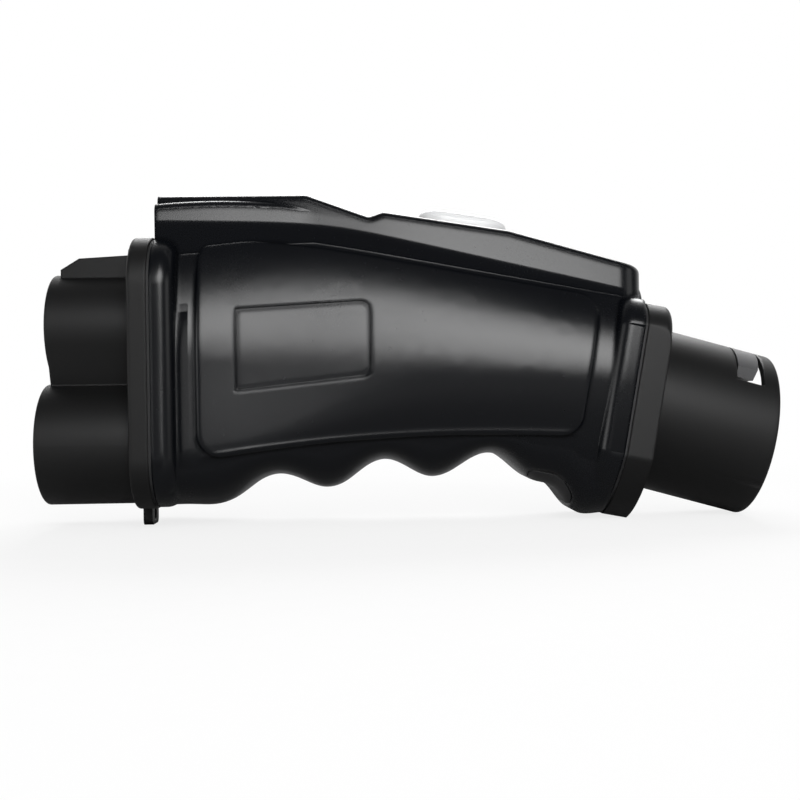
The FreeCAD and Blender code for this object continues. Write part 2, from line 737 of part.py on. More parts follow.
def port_socket_block(gap, start):
    """The space that the service socket fills, in the port's own frame, from a depth called start."""
    half_height = PORT_STUB_HALF_HEIGHT + PORT_SOCKET_GAP + PORT_SOCKET_WALL + gap
    half_width = PORT_STUB_HALF_WIDTH + PORT_SOCKET_GAP + PORT_SOCKET_WALL + gap
    end = PORT_COVER_THICKNESS + SLIDE_GAP + PORT_SOCKET_DEPTH + gap
    return box(-half_height, half_height, -half_width, half_width, start, end)


def screw(start, direction, length):
    """A screw whose head's top is at start and whose shank runs along direction."""
    head = rod(start, direction, SCREW_HEAD_RADIUS, SCREW_HEAD_HEIGHT)
    shank = rod(start, direction, SCREW_RADIUS, SCREW_HEAD_HEIGHT + length)
    drive = rod(start, direction, SCREW_DRIVE_RADIUS, SCREW_DRIVE_DEPTH)
    return head.fuse(shank).cut(drive)


def screw_hole(start, direction, length):
    """The room for a screw: a clearance for its head and a snug hole for its shank."""
    back = direction * -OVERRUN
    head = rod(start + back, direction, SCREW_HEAD_RADIUS + SCREW_GAP, OVERRUN + SCREW_HEAD_HEIGHT)
    shank = rod(start, direction, SCREW_RADIUS + SEAT_GAP / 2, SCREW_HEAD_HEIGHT + length + SCREW_GAP)
    return head.fuse(shank)


def housing_screw_spots():
    head_top = HOUSING_SCREW_REACH + SCREW_HEAD_HEIGHT
    return [(Vector(x, head_top, z), Vector(0, -1, 0), SCREW_LENGTH) for x, z in HOUSING_SCREW_PLACES]


def inlet_screw_spots():
    across = INLET_FLANGE_HALF_WIDTH - INLET_SCREW_INSET
    heights = (INLET_FLANGE_BOTTOM + INLET_SCREW_INSET, INLET_FLANGE_TOP - INLET_SCREW_INSET)
    face = SEAM_LEFT - GASKET_THICKNESS - INLET_FLANGE_THICKNESS
    length = INLET_FLANGE_THICKNESS + GASKET_THICKNESS - SCREW_HEAD_HEIGHT + LEFT_COLLAR_LENGTH * 0.7
    return [(Vector(face, side * across, z), AXIS_X, length) for side in (-1, 1) for z in heights]


def plug_screw_spots():
    face = GASKET_THICKNESS + PLUG_FLANGE_THICKNESS
    length = face - SCREW_HEAD_HEIGHT + RIGHT_COLLAR_LENGTH * 0.6
    spots = []
    for angle in PLUG_SCREW_ANGLES:
        across = PLUG_SCREW_RADIUS * math.cos(math.radians(angle))
        up = PLUG_SCREW_RADIUS * math.sin(math.radians(angle))
        spots.append((Vector(face, across, up), Vector(-1, 0, 0), length))
    return spots


def board_post_spots():
    low = BOARD_BOTTOM + BOARD_POST_INSET
    high = BOARD_BOTTOM + BOARD_HEIGHT - BOARD_POST_INSET
    left = BOARD_LEFT + BOARD_POST_INSET
    right = BOARD_LEFT + BOARD_LENGTH - BOARD_POST_INSET
    return [(x, z) for x in (left, right) for z in (low, high)]


def board_screw(x, z):
    """A short screw from the board's near face into its post."""
    start = Vector(x, BOARD_FACE_Y - SCREW_HEAD_HEIGHT / 2, z)
    head = rod(start, AXIS_Y, SCREW_HEAD_RADIUS, SCREW_HEAD_HEIGHT / 2)
    return head.fuse(rod(start, AXIS_Y, SCREW_RADIUS, BOARD_SCREW_LENGTH))


def board_screw_hole(x, z):
    start = Vector(x, BOARD_FACE_Y, z)
    return rod(start, AXIS_Y, SCREW_RADIUS + SEAT_GAP / 2, BOARD_SCREW_LENGTH + SCREW_GAP)


def lever_height(x):
    """The height of the lever's centre line on its rear run."""
    share = (x - PIVOT_X) / (LEVER_KNEE_X - PIVOT_X)
    return PIVOT_Z + (LEVER_KNEE_Z - PIVOT_Z) * share


def spring_perch_top():
    return spring_top() - SPRING_LENGTH


def spring_top():
    """Where the spring ends, just under the lever's lowest edge above it."""
    return lever_height(SPRING_X + SPRING_RADIUS) - LEVER_THICKNESS / 2 - SEAT_GAP


def housing_halves():
    """The two halves of the housing, split along the middle plane."""
    body = housing_form()
    shell = body.cut(housing_cavity())
    side_box = {
        -1: box(-3 * OVERRUN, 3 * OVERRUN, -OVERRUN, -PARTING_GAP, -OVERRUN, 3 * OVERRUN),
        1: box(-3 * OVERRUN, 3 * OVERRUN, PARTING_GAP, OVERRUN, -OVERRUN, 3 * OVERRUN),
    }
    button_hole = to_deck(pill(BUTTON_LENGTH + 2 * SLIDE_GAP, BUTTON_WIDTH + 2 * SLIDE_GAP, -2 * WALL, 2 * WALL))
    openings = [button_hole, port_layer(PORT_COVER_THICKNESS + SLIDE_GAP, SLIDE_GAP)]
    openings.append(port_frame(port_socket_block(SEAT_GAP, 0)))
    openings.extend(screw_hole(*spot) for spot in inlet_screw_spots())
    openings.extend(to_seam(screw_hole(*spot)) for spot in plug_screw_spots())
    openings.extend(screw_hole(*spot) for spot in housing_screw_spots())
    pin_half = LEVER_HALF_WIDTH + PIVOT_BOSS_RADIUS + SLIDE_GAP
    openings.append(rod(
        Vector(PIVOT_X, -pin_half, PIVOT_Z), AXIS_Y, PIVOT_PIN_RADIUS + PIVOT_RUNNING_GAP, 2 * pin_half,
    ))
    halves = {}
    for side in (-1, 1):
        half = shell.common(side_box[side])
        added = [boss_to_wall(x, z, side, BOSS_RADIUS, PARTING_GAP, body) for x, z in HOUSING_SCREW_PLACES]
        added.append(pivot_bosses(body, side))
        if side == 1:
            back = BOARD_FACE_Y + BOARD_THICKNESS
            added.extend(boss_to_wall(x, z, side, BOARD_POST_RADIUS, back, body) for x, z in board_post_spots())
            openings.extend(board_screw_hole(x, z) for x, z in board_post_spots())
        else:
            added.append(spring_perch(body))
            added.extend(cradle_posts(body))
        halves[side] = half.fuse(added).cut(openings)
    return halves[-1].cut(label_recess()), halves[1]


def spring_perch(body):
    """A shelf from the near wall to just past the middle, under the lever's spring."""
    top = spring_perch_top()
    shelf = box(
        SPRING_X - SPRING_PERCH_RADIUS, SPRING_X + SPRING_PERCH_RADIUS, -OVERRUN, -PARTING_GAP,
        top - 2 * WALL, top,
    ).common(body)
    return shelf


def cradle_posts(body):
    back = abs(CELL_Y) + CRADLE_DEPTH + CRADLE_WALL
    ends = (CELL_LEFT + CELL_RADIUS, CELL_LEFT + CELL_LENGTH - CELL_RADIUS)
    return [boss_to_wall(x, CELL_Z, -1, BOSS_RADIUS, back, body) for x in ends]


def housing_screws():
    return Part.makeCompound([screw(*spot) for spot in housing_screw_spots()])


# Inlet

def lobes(x0, x1, shrink, setback=0.0):
    """The inlet's two lobes from x0 to x1. The upper one can start further in."""
    start = x0 + setback
    upper = rod(Vector(start, 0, UPPER_LOBE_HEIGHT), AXIS_X, UPPER_LOBE_RADIUS - shrink, x1 - start)
    lower = rounded_block(
        x0, x1, LOWER_LOBE_HALF_WIDTH - shrink, LOWER_LOBE_HEIGHT - LOWER_LOBE_RADIUS + shrink,
        LOWER_LOBE_HEIGHT + LOWER_LOBE_RADIUS - shrink, (LOWER_LOBE_RADIUS - shrink) * 0.999,
    )
    return upper, lower


def waist(x0, x1):
    """The web that joins the lobes. Its sides leave the upper lobe as tangents."""
    lean = math.radians(WAIST_LEAN)
    top_half = UPPER_LOBE_RADIUS * math.cos(lean)
    top = UPPER_LOBE_HEIGHT - UPPER_LOBE_RADIUS * math.sin(lean)
    bottom = LOWER_LOBE_HEIGHT + LOWER_LOBE_RADIUS / 2
    bottom_half = top_half - (top - bottom) * math.tan(lean)
    corners = [
        Vector(x0, top_half, top), Vector(x0, bottom_half, bottom),
        Vector(x0, -bottom_half, bottom), Vector(x0, -top_half, top),
    ]
    return Part.Face(Part.makePolygon(corners + corners[:1])).extrude(Vector(x1 - x0, 0, 0))


def latch_ramp(rim, face):
    outline = side_outline([
        (rim + RAMP_NOSE_SETBACK, UPPER_LOBE_HEIGHT + UPPER_LOBE_RADIUS / 2),
        (rim + RAMP_NOSE_SETBACK, RAMP_NOSE_HEIGHT),
        (rim + RAMP_NOSE_SETBACK + RAMP_CHAMFER_LENGTH, RAMP_FRONT_TOP),
        (face, RAMP_TOP),
        (face, UPPER_LOBE_HEIGHT + UPPER_LOBE_RADIUS / 2),
    ])
    return prism_along_y(outline, RAMP_HALF_WIDTH)


def inlet_shell():
    """The flange, both lobes and the latch ramp, moulded as one."""
    back = SEAM_LEFT - GASKET_THICKNESS
    face = back - INLET_FLANGE_THICKNESS
    rim = face - LOBE_LENGTH
    flange = rounded_block(
        face, back, INLET_FLANGE_HALF_WIDTH, INLET_FLANGE_BOTTOM, INLET_FLANGE_TOP, INLET_FLANGE_CORNER,
    )
    flange = flange.makeFillet(INLET_FLANGE_EDGE_ROUND, edges_near_x(flange, face))
    upper, lower = lobes(rim, face + 1, 0, UPPER_LOBE_SETBACK)
    upper = upper.makeFillet(LOBE_RIM_ROUND, edges_near_x(upper, rim + UPPER_LOBE_SETBACK))
    lower = lower.makeFillet(LOBE_RIM_ROUND, edges_near_x(lower, rim))
    web = waist(rim + UPPER_LOBE_SETBACK + LOBE_RIM_ROUND, face + 1)
    shell = flange.fuse([upper, lower, web, latch_ramp(rim, face + 1)]).removeSplitter()
    upper_hole, lower_hole = lobes(rim - 1, back + 1, LOBE_WALL)
    shell = shell.cut([upper_hole, lower_hole])
    return shell.cut([screw_hole(*spot) for spot in inlet_screw_spots()])


def inlet_gasket():
    flange = rounded_block(
        SEAM_LEFT - GASKET_THICKNESS, SEAM_LEFT, INLET_FLANGE_HALF_WIDTH - COLLAR_INSET * 2,
        INLET_FLANGE_BOTTOM + COLLAR_INSET * 2, INLET_FLANGE_TOP - COLLAR_INSET * 2,
        INLET_FLANGE_CORNER - COLLAR_INSET * 2,
    )
    opening = rounded_block(
        SEAM_LEFT - WALL, SEAM_LEFT + WALL, LOWER_LOBE_HALF_WIDTH - 2 * WALL,
        INLET_FLANGE_BOTTOM + 4 * WALL, UPPER_LOBE_HEIGHT + UPPER_LOBE_RADIUS - 2 * WALL, UPPER_LOBE_RADIUS / 2,
    )
    return flange.cut([opening] + [screw_hole(*spot) for spot in inlet_screw_spots()])


def inlet_carriers():
    """The two insulators that hold the inlet's pins, with their cores and sleeves."""
    back = SEAM_LEFT - GASKET_THICKNESS
    front = back - INLET_FLANGE_THICKNESS - LOBE_LENGTH + LOBE_CAVITY_DEPTH
    upper, lower = lobes(front, back, LOBE_WALL + SEAT_GAP)
    core = rod(Vector(front - INLET_CORE_LENGTH, 0, UPPER_LOBE_HEIGHT), AXIS_X, INLET_CORE_RADIUS, INLET_CORE_LENGTH)
    signal = upper.fuse(core).removeSplitter()
    recess_length = INLET_CORE_LENGTH - EARTH_PIN_RADIUS
    recesses = [
        rod(Vector(front - INLET_CORE_LENGTH, y, z), AXIS_X, SIGNAL_PIN_RECESS_RADIUS, recess_length)
        for y, z in signal_spots() + spare_spots() + [(0, UPPER_LOBE_HEIGHT + EARTH_PIN_DROP)]
    ]
    holes = [rod(Vector(front - OVERRUN, y, z), AXIS_X, SIGNAL_PIN_RADIUS, 2 * OVERRUN) for y, z in signal_spots()]
    holes.append(rod(
        Vector(front - OVERRUN, 0, UPPER_LOBE_HEIGHT + EARTH_PIN_DROP), AXIS_X, EARTH_PIN_RADIUS, 2 * OVERRUN,
    ))
    signal = signal.cut(recesses + holes)
    sleeves = []
    bores = []
    for side in POWER_PIN_SIDES.values():
        centre = Vector(front - POWER_SLEEVE_LENGTH, side * POWER_PIN_SPACING / 2, LOWER_LOBE_HEIGHT)
        sleeves.append(rod(centre, AXIS_X, POWER_SLEEVE_RADIUS, POWER_SLEEVE_LENGTH))
        bores.append(rod(centre, AXIS_X, POWER_SLEEVE_BORE, POWER_SLEEVE_LENGTH))
        bores.append(rod(centre, AXIS_X, POWER_PIN_TAIL_RADIUS, 2 * OVERRUN))
    power = lower.fuse(sleeves).cut(bores)
    return signal, power


def signal_spots():
    height = UPPER_LOBE_HEIGHT - SIGNAL_PIN_DROP
    return [(side * SIGNAL_PIN_OFFSET, height) for side in (-1, 1)]


def spare_spots():
    """The two places that stay empty, because this adapter carries direct current only."""
    height = UPPER_LOBE_HEIGHT - EARTH_PIN_DROP
    return [(side * SIGNAL_PIN_OFFSET * 0.8, height) for side in (-1, 1)]


def domed_pin(start, radius, length):
    """A pin along X whose left tip is rounded."""
    pin = rod(start, AXIS_X, radius, length)
    return pin.makeFillet(radius * 0.6, edges_near_x(pin, start.x))


def inlet_pins():
    back = SEAM_LEFT - GASKET_THICKNESS
    front = back - INLET_FLANGE_THICKNESS - LOBE_LENGTH + LOBE_CAVITY_DEPTH
    power = {}
    for name, side in POWER_PIN_SIDES.items():
        root = Vector(front, side * POWER_PIN_SPACING / 2, LOWER_LOBE_HEIGHT)
        pin = domed_pin(root - AXIS_X * POWER_PIN_LENGTH, POWER_PIN_RADIUS, POWER_PIN_LENGTH)
        power[name] = pin.fuse(rod(root, AXIS_X, POWER_PIN_TAIL_RADIUS, back + POWER_PIN_TAIL - front))
    tip = front - SIGNAL_PIN_LENGTH
    signals = [
        domed_pin(Vector(tip, y, z), SIGNAL_PIN_RADIUS, back + PIN_TAIL - tip) for y, z in signal_spots()
    ]
    earth = domed_pin(
        Vector(tip, 0, UPPER_LOBE_HEIGHT + EARTH_PIN_DROP), EARTH_PIN_RADIUS, back + PIN_TAIL - tip,
    )
    return power, Part.makeCompound(signals), earth


def tether_eyelet():
    """A small ring under the flange for the dust cap's tether."""
    start = SEAM_LEFT - GASKET_THICKNESS - INLET_FLANGE_THICKNESS - EYELET_OVERHANG
    tab = box(start, start + EYELET_THICKNESS, -EYELET_HALF_WIDTH, EYELET_HALF_WIDTH, 0, INLET_FLANGE_BOTTOM)
    lower = [
        edge for edge in tab.Edges
        if edge_runs_along(edge, AXIS_X) and edge.BoundBox.ZMax < INLET_FLANGE_BOTTOM / 2
    ]
    tab = tab.makeFillet(EYELET_CORNER, lower)
    hole = rod(Vector(start, 0, INLET_FLANGE_BOTTOM / 2), AXIS_X, EYELET_HOLE_RADIUS, EYELET_THICKNESS)
    return tab.cut(hole)


# Plug

def barrel_end():
    return GASKET_THICKNESS + PLUG_FLANGE_THICKNESS + BARREL_LENGTH


def window_start():
    return barrel_end() - WINDOW_SETBACK - WINDOW_LENGTH


def rim_turn():
    """The angle between the rim's plane and a plane square to the barrel."""
    return PLUG_TILT - SEAM_TILT


def past_the_rim():
    """What lies beyond the rim's plane, in the plug's frame."""
    cutter = box(0, OVERRUN, -OVERRUN, OVERRUN, -OVERRUN, OVERRUN)
    cutter.rotate(ORIGIN, AXIS_Y, -rim_turn())
    cutter.translate(Vector(barrel_end(), 0, 0))
    return cutter


def edges_on_rim(shape):
    """The edges in the rim's plane, in the plug's frame."""
    turn = math.radians(rim_turn())
    normal = Vector(math.cos(turn), 0, math.sin(turn))
    found = []
    for edge in shape.Edges:
        span = edge.LastParameter - edge.FirstParameter
        places = [edge.valueAt(edge.FirstParameter + span * share) for share in (0, 0.3, 0.7)]
        if all(abs((place - Vector(barrel_end(), 0, 0)).dot(normal)) < 0.01 for place in places):
            found.append(edge)
    return found


def plug_shell():
    """The flange and the barrel with its claw window, moulded as one."""
    face = GASKET_THICKNESS + PLUG_FLANGE_THICKNESS
    outline = plug_outline(GASKET_THICKNESS, 0, PLUG_FLANGE_TOP, PLUG_TOP_FLAT)
    flange = Part.Face(outline).extrude(Vector(PLUG_FLANGE_THICKNESS, 0, 0))
    top_rims = [edge for edge in edges_near_x(flange, face) if edge.BoundBox.ZMin > PLUG_FACET_TOP - 1]
    flange = flange.makeFillet(PLUG_FLANGE_EDGE_ROUND, top_rims)
    barrel = rod(Vector(face / 2, 0, 0), AXIS_X, BARREL_RADIUS, BARREL_LENGTH + face).cut(past_the_rim())
    barrel = barrel.makeFillet(BARREL_RIM_ROUND, edges_on_rim(barrel))
    shell = to_seam(flange).fuse(to_plug(barrel))
    bore = rod(Vector(-face, 0, 0), AXIS_X, BARREL_RADIUS - BARREL_WALL, 2 * OVERRUN)
    lip_seat = rod(
        Vector(0, 0, 0), AXIS_X, CARRIER_LIP_RADIUS + SEAT_GAP, GASKET_THICKNESS + CARRIER_LIP_THICKNESS + SEAT_GAP,
    )
    window = box(
        window_start(), window_start() + WINDOW_LENGTH, -BARREL_RADIUS, BARREL_RADIUS, WINDOW_SILL, BARREL_RADIUS + 1,
    )
    shell = shell.cut([to_plug(bore), to_seam(lip_seat), to_plug(window)])
    return shell.cut([to_seam(screw_hole(*spot)) for spot in plug_screw_spots()])


def plug_gasket():
    outline = plug_outline(0, COLLAR_INSET * 2, PLUG_FLANGE_TOP, PLUG_TOP_FLAT)
    sheet = Part.Face(outline).extrude(Vector(GASKET_THICKNESS, 0, 0))
    sheet = sheet.cut([screw_hole(*spot) for spot in plug_screw_spots()])
    return to_seam(sheet).cut(plug_passage())


def signal_socket_spots():
    middle = (SIGNAL_SOCKET_COUNT - 1) / 2
    across = [(i - middle) * SIGNAL_SOCKET_SPACING for i in range(SIGNAL_SOCKET_COUNT)]
    return [(y, z) for z in (SIGNAL_SOCKET_UPPER, SIGNAL_SOCKET_LOWER) for y in across]


def contact_carrier():
    """The insulator that fills the barrel. Its top is cut flat to clear the latch lever."""
    front = barrel_end() - CARRIER_RECESS
    back = -CARRIER_RECESS
    block = rod(Vector(back, 0, 0), AXIS_X, BARREL_RADIUS - BARREL_WALL - SEAT_GAP, front - back)
    behind = box(-OVERRUN, GASKET_THICKNESS, -OVERRUN, OVERRUN, -OVERRUN, OVERRUN)
    lip = rod(Vector(GASKET_THICKNESS, 0, 0), AXIS_X, CARRIER_LIP_RADIUS, CARRIER_LIP_THICKNESS)
    block = to_plug(block).cut(to_seam(behind)).fuse(to_seam(lip))
    holes = [box(back, front + 1, -OVERRUN, OVERRUN, CARRIER_FLAT_HEIGHT, OVERRUN)]
    for side in POWER_PIN_SIDES.values():
        holes.append(rod(Vector(back, side * POWER_SOCKET_SPACING / 2, 0), AXIS_X, POWER_SOCKET_RADIUS, 2 * OVERRUN))
    holes.extend(rod(Vector(back, y, z), AXIS_X, SIGNAL_SOCKET_RADIUS, 2 * OVERRUN) for y, z in signal_socket_spots())
    holes.append(rod(Vector(back, 0, EARTH_SOCKET_HEIGHT), AXIS_X, EARTH_SOCKET_RADIUS, 2 * OVERRUN))
    return block.cut([to_plug(hole) for hole in holes])


def socket(y, z, radius, bore, depth, tail):
    """A socket along the plug's axis, open at its front."""
    front = barrel_end() - CARRIER_RECESS - SOCKET_SETBACK
    body = rod(Vector(-tail, y, z), AXIS_X, radius, front + tail)
    return body.cut(rod(Vector(front - depth, y, z), AXIS_X, bore, depth + 1))


def plug_sockets():
    power = {
        name: socket(
            side * POWER_SOCKET_SPACING / 2, 0, POWER_SOCKET_RADIUS, POWER_SOCKET_BORE,
            POWER_SOCKET_DEPTH, POWER_SOCKET_TAIL,
        )
        for name, side in POWER_PIN_SIDES.items()
    }
    signals = Part.makeCompound([
        socket(y, z, SIGNAL_SOCKET_RADIUS, SIGNAL_SOCKET_BORE, SIGNAL_SOCKET_DEPTH, SIGNAL_SOCKET_TAIL)
        for y, z in signal_socket_spots()
    ])
    earth = socket(0, EARTH_SOCKET_HEIGHT, EARTH_SOCKET_RADIUS, EARTH_SOCKET_BORE, SIGNAL_SOCKET_DEPTH, EARTH_SOCKET_TAIL)
    return power, signals, earth


# Conductors and electronics

def strip(points, thickness, half_width, y):
    """A bent strip whose centre line follows (x, z) points and whose width is along Y."""
    line = [Vector(x, 0, z) for x, z in points]
    upper = []
    lower = []
    for i, point in enumerate(line):
        before = (point - line[i - 1]).normalize() if i > 0 else None
        after = (line[i + 1] - point).normalize() if i < len(line) - 1 else None
        along = before if after is None else after if before is None else (before + after).normalize()
        normal = Vector(-along.z, 0, along.x)
        reach = thickness / 2 / (1 if before is None or after is None else along.dot(after))
        upper.append(point + normal * reach)
        lower.append(point - normal * reach)
    loop = upper + lower[::-1]
    face = Part.Face(Part.makePolygon(loop + loop[:1]))
    face.translate(Vector(0, y - half_width, 0))
    return face.extrude(Vector(0, 2 * half_width, 0))


def busbar(side):
    start = SEAM_LEFT - GASKET_THICKNESS + POWER_PIN_TAIL
    bend = plug_point(-POWER_SOCKET_TAIL - BUSBAR_STRAIGHT, 0)
    end = plug_point(-POWER_SOCKET_TAIL, 0)
    route = [(start, LOWER_LOBE_HEIGHT), (start + BUSBAR_STRAIGHT, LOWER_LOBE_HEIGHT), (bend.x, bend.z), (end.x, end.z)]
    return strip(route, BUSBAR_THICKNESS, BUSBAR_HALF_WIDTH, side * POWER_PIN_SPACING / 2)


def earth_strip():
    start = SEAM_LEFT - GASKET_THICKNESS + PIN_TAIL
    height = UPPER_LOBE_HEIGHT + EARTH_PIN_DROP
    bend = plug_point(-EARTH_SOCKET_TAIL - BUSBAR_STRAIGHT / 2, EARTH_SOCKET_HEIGHT)
    end = plug_point(-EARTH_SOCKET_TAIL, EARTH_SOCKET_HEIGHT)
    route = [
        (start, height), (start + BUSBAR_STRAIGHT, height), (start + 3 * BUSBAR_STRAIGHT, crease(start) + BUSBAR_STRAIGHT),
        (bend.x, bend.z), (end.x, end.z),
    ]
    return strip(route, EARTH_STRIP_THICKNESS, EARTH_STRIP_HALF_WIDTH, 0)


def control_board():
    board = box(
        BOARD_LEFT, BOARD_LEFT + BOARD_LENGTH, BOARD_FACE_Y, BOARD_FACE_Y + BOARD_THICKNESS,
        BOARD_BOTTOM, BOARD_BOTTOM + BOARD_HEIGHT,
    )
    middle = BOARD_BOTTOM + BOARD_HEIGHT / 2
    chips = []
    for share in (0.25, 0.5, 0.75):
        x = BOARD_LEFT + BOARD_LENGTH * share
        chips.append(box(
            x - CHIP_SIZE / 2, x + CHIP_SIZE / 2, BOARD_FACE_Y - CHIP_THICKNESS, BOARD_FACE_Y,
            middle - CHIP_SIZE / 2, middle + CHIP_SIZE / 2,
        ))
    holes = [rod(Vector(x, 0, z), AXIS_Y, SCREW_RADIUS + SCREW_GAP, OVERRUN) for x, z in board_post_spots()]
    return board.fuse(chips).cut(holes)


def battery_cell():
    cell = rod(Vector(CELL_LEFT, CELL_Y, CELL_Z), AXIS_X, CELL_RADIUS, CELL_LENGTH)
    return cell.makeFillet(CRADLE_WALL / 2, [edge for edge in cell.Edges if edge.Curve.TypeId == "Part::GeomCircle"])


def cell_cradle():
    """A half-round trough that holds the battery cell from behind."""
    back = CELL_Y - CRADLE_DEPTH - CRADLE_WALL
    block = box(
        CELL_LEFT - CRADLE_WALL - SEAT_GAP, CELL_LEFT + CELL_LENGTH + CRADLE_WALL + SEAT_GAP, back, CELL_Y,
        CELL_Z - CELL_RADIUS - CRADLE_WALL, CELL_Z + CELL_RADIUS + CRADLE_WALL,
    )
    trough = rod(
        Vector(CELL_LEFT - SEAT_GAP, CELL_Y, CELL_Z), AXIS_X, CELL_RADIUS + SEAT_GAP, CELL_LENGTH + 2 * SEAT_GAP,
    )
    return block.cut(trough)


# Thumb button, latch lever and service port

def release_button():
    """The domed thumb button, with a rim that keeps it under the deck and a stem that pushes the lever."""
    cap = pill(BUTTON_LENGTH, BUTTON_WIDTH, -BUTTON_SKIRT, BUTTON_PROUD)
    top = [edge for edge in cap.Edges if edge.BoundBox.ZMin > BUTTON_PROUD - 0.1]
    cap = cap.makeFillet(BUTTON_TOP_ROUND, top)
    rim_top = -WALL - 2 * SLIDE_GAP
    rim = pill(BUTTON_LENGTH + 2 * BUTTON_RIM, BUTTON_WIDTH + 2 * BUTTON_RIM, rim_top - BUTTON_RIM_THICKNESS, rim_top)
    button = to_deck(cap.fuse(rim))
    stem_x = SPRING_X
    lever_top = lever_height(stem_x) + LEVER_THICKNESS / 2
    stem = box(
        stem_x - BUTTON_STEM_HALF, stem_x + BUTTON_STEM_HALF, -BUTTON_STEM_HALF, BUTTON_STEM_HALF,
        lever_top + SLIDE_GAP, deck_height(stem_x) - WALL - BUTTON_RIM_THICKNESS,
    )
    return button.fuse(stem).removeSplitter()


def claw_travel():
    """How far the claw sinks when the button is pressed all the way."""
    claw_x = plug_point(window_start() + WINDOW_LENGTH, BARREL_RADIUS).x
    return BUTTON_TRAVEL * (claw_x - PIVOT_X) / (SPRING_X - PIVOT_X)


def latch_lever():
    """The lever from its pivot to the claw in the plug's window."""
    start_of_arm = plug_point(-LEVER_ARM_HEIGHT / 4, LEVER_ARM_HEIGHT)
    claw_start = window_start() + CLAW_END_GAP
    claw_end = window_start() + WINDOW_LENGTH - CLAW_END_GAP
    end_of_arm = plug_point(claw_end, LEVER_ARM_HEIGHT)
    route = [
        (PIVOT_X, PIVOT_Z), (LEVER_KNEE_X, LEVER_KNEE_Z), (start_of_arm.x, start_of_arm.z), (end_of_arm.x, end_of_arm.z),
    ]
    beam = strip(route, LEVER_THICKNESS, LEVER_HALF_WIDTH, 0)
    hub = rod(Vector(PIVOT_X, -LEVER_HALF_WIDTH, PIVOT_Z), AXIS_Y, PIVOT_BOSS_RADIUS, 2 * LEVER_HALF_WIDTH)
    claw_low = CARRIER_FLAT_HEIGHT + claw_travel() + SLIDE_GAP
    slanted = prism_along_y(side_outline([
        (claw_start, claw_low), (claw_end - CLAW_SLANT, claw_low), (claw_end, BARREL_RADIUS), (claw_start, BARREL_RADIUS),
    ]), CLAW_HALF_WIDTH)
    core = box(claw_start, claw_end, -CLAW_CORE_HALF_WIDTH, CLAW_CORE_HALF_WIDTH, claw_low, BARREL_RADIUS)
    claw = slanted.fuse(core).common(rod(Vector(0, 0, 0), AXIS_X, BARREL_RADIUS, 2 * OVERRUN))
    hole = rod(
        Vector(PIVOT_X, -OVERRUN, PIVOT_Z), AXIS_Y, PIVOT_PIN_RADIUS + PIVOT_RUNNING_GAP, 2 * OVERRUN,
    )
    return beam.fuse([hub, to_plug(claw)]).cut(hole).removeSplitter()


def latch_pivot_pin():
    half = LEVER_HALF_WIDTH + PIVOT_BOSS_RADIUS
    return rod(Vector(PIVOT_X, -half, PIVOT_Z), AXIS_Y, PIVOT_PIN_RADIUS, 2 * half)


def latch_spring():
    """The coil spring that lifts the lever and the button."""
    low = spring_perch_top() + SPRING_WIRE
    high = spring_top() - SPRING_WIRE
    path = Part.makeHelix((high - low) / SPRING_TURNS, high - low, SPRING_RADIUS)
    ring = Part.Wire(Part.makeCircle(SPRING_WIRE, Vector(SPRING_RADIUS, 0, 0), AXIS_Y))
    coil = Part.Wire(path).makePipeShell([ring], True, True)
    coil.translate(Vector(SPRING_X, 0, low))
    return coil


def port_cover():
    """The rubber cover over the service port. It follows the grip's underside and has a stub for the socket."""
    skin = belly(0, 0).common(port_layer(PORT_COVER_THICKNESS, 0))
    start = PORT_COVER_THICKNESS / 2
    stub = port_frame(box(
        -PORT_STUB_HALF_HEIGHT, PORT_STUB_HALF_HEIGHT, -PORT_STUB_HALF_WIDTH, PORT_STUB_HALF_WIDTH,
        start, PORT_COVER_THICKNESS + PORT_STUB_DEPTH,
    ))
    return skin.fuse(stub)


def service_socket():
    """The metal socket behind the cover."""
    body = port_socket_block(0, PORT_COVER_THICKNESS + SLIDE_GAP)
    return port_frame(body.cut(port_socket_block(-PORT_SOCKET_WALL, 0)))


def board_screws():
    return Part.makeCompound([board_screw(x, z) for x, z in board_post_spots()])


def pieces():
    near, far = housing_halves()
    signal_carrier, power_carrier = inlet_carriers()
    power_pins, signal_pins, earth_pin = inlet_pins()
    power_sockets, signal_sockets, earth_socket = plug_sockets()
    found = {
        "housing_near": near,
        "housing_far": far,
        "housing_screws": housing_screws(),
        "inlet_shell": inlet_shell(),
        "inlet_gasket": inlet_gasket(),
        "inlet_screws": Part.makeCompound([screw(*spot) for spot in inlet_screw_spots()]),
        "tether_eyelet": tether_eyelet(),
        "signal_pin_carrier": signal_carrier,
        "power_pin_carrier": power_carrier,
        "signal_pins": signal_pins,
        "earth_pin": earth_pin,
        "plug_shell": plug_shell(),
        "plug_gasket": plug_gasket(),
        "plug_screws": to_seam(Part.makeCompound([screw(*spot) for spot in plug_screw_spots()])),
        "contact_carrier": contact_carrier(),
        "signal_sockets": to_plug(signal_sockets),
        "earth_socket": to_plug(earth_socket),
        "earth_strip": earth_strip(),
        "control_board": control_board(),
        "board_screws": board_screws(),
        "battery_cell": battery_cell(),
        "cell_cradle": cell_cradle(),
        "release_button": release_button(),
        "latch_lever": latch_lever(),
        "latch_pivot_pin": latch_pivot_pin(),
        "latch_spring": latch_spring(),
        "port_cover": port_cover(),
        "service_socket": service_socket(),
    }
    for name, side in POWER_PIN_SIDES.items():
        found["power_pin_" + name] = power_pins[name]
        found["power_socket_" + name] = to_plug(power_sockets[name])
        found["busbar_" + name] = busbar(side)
    return found


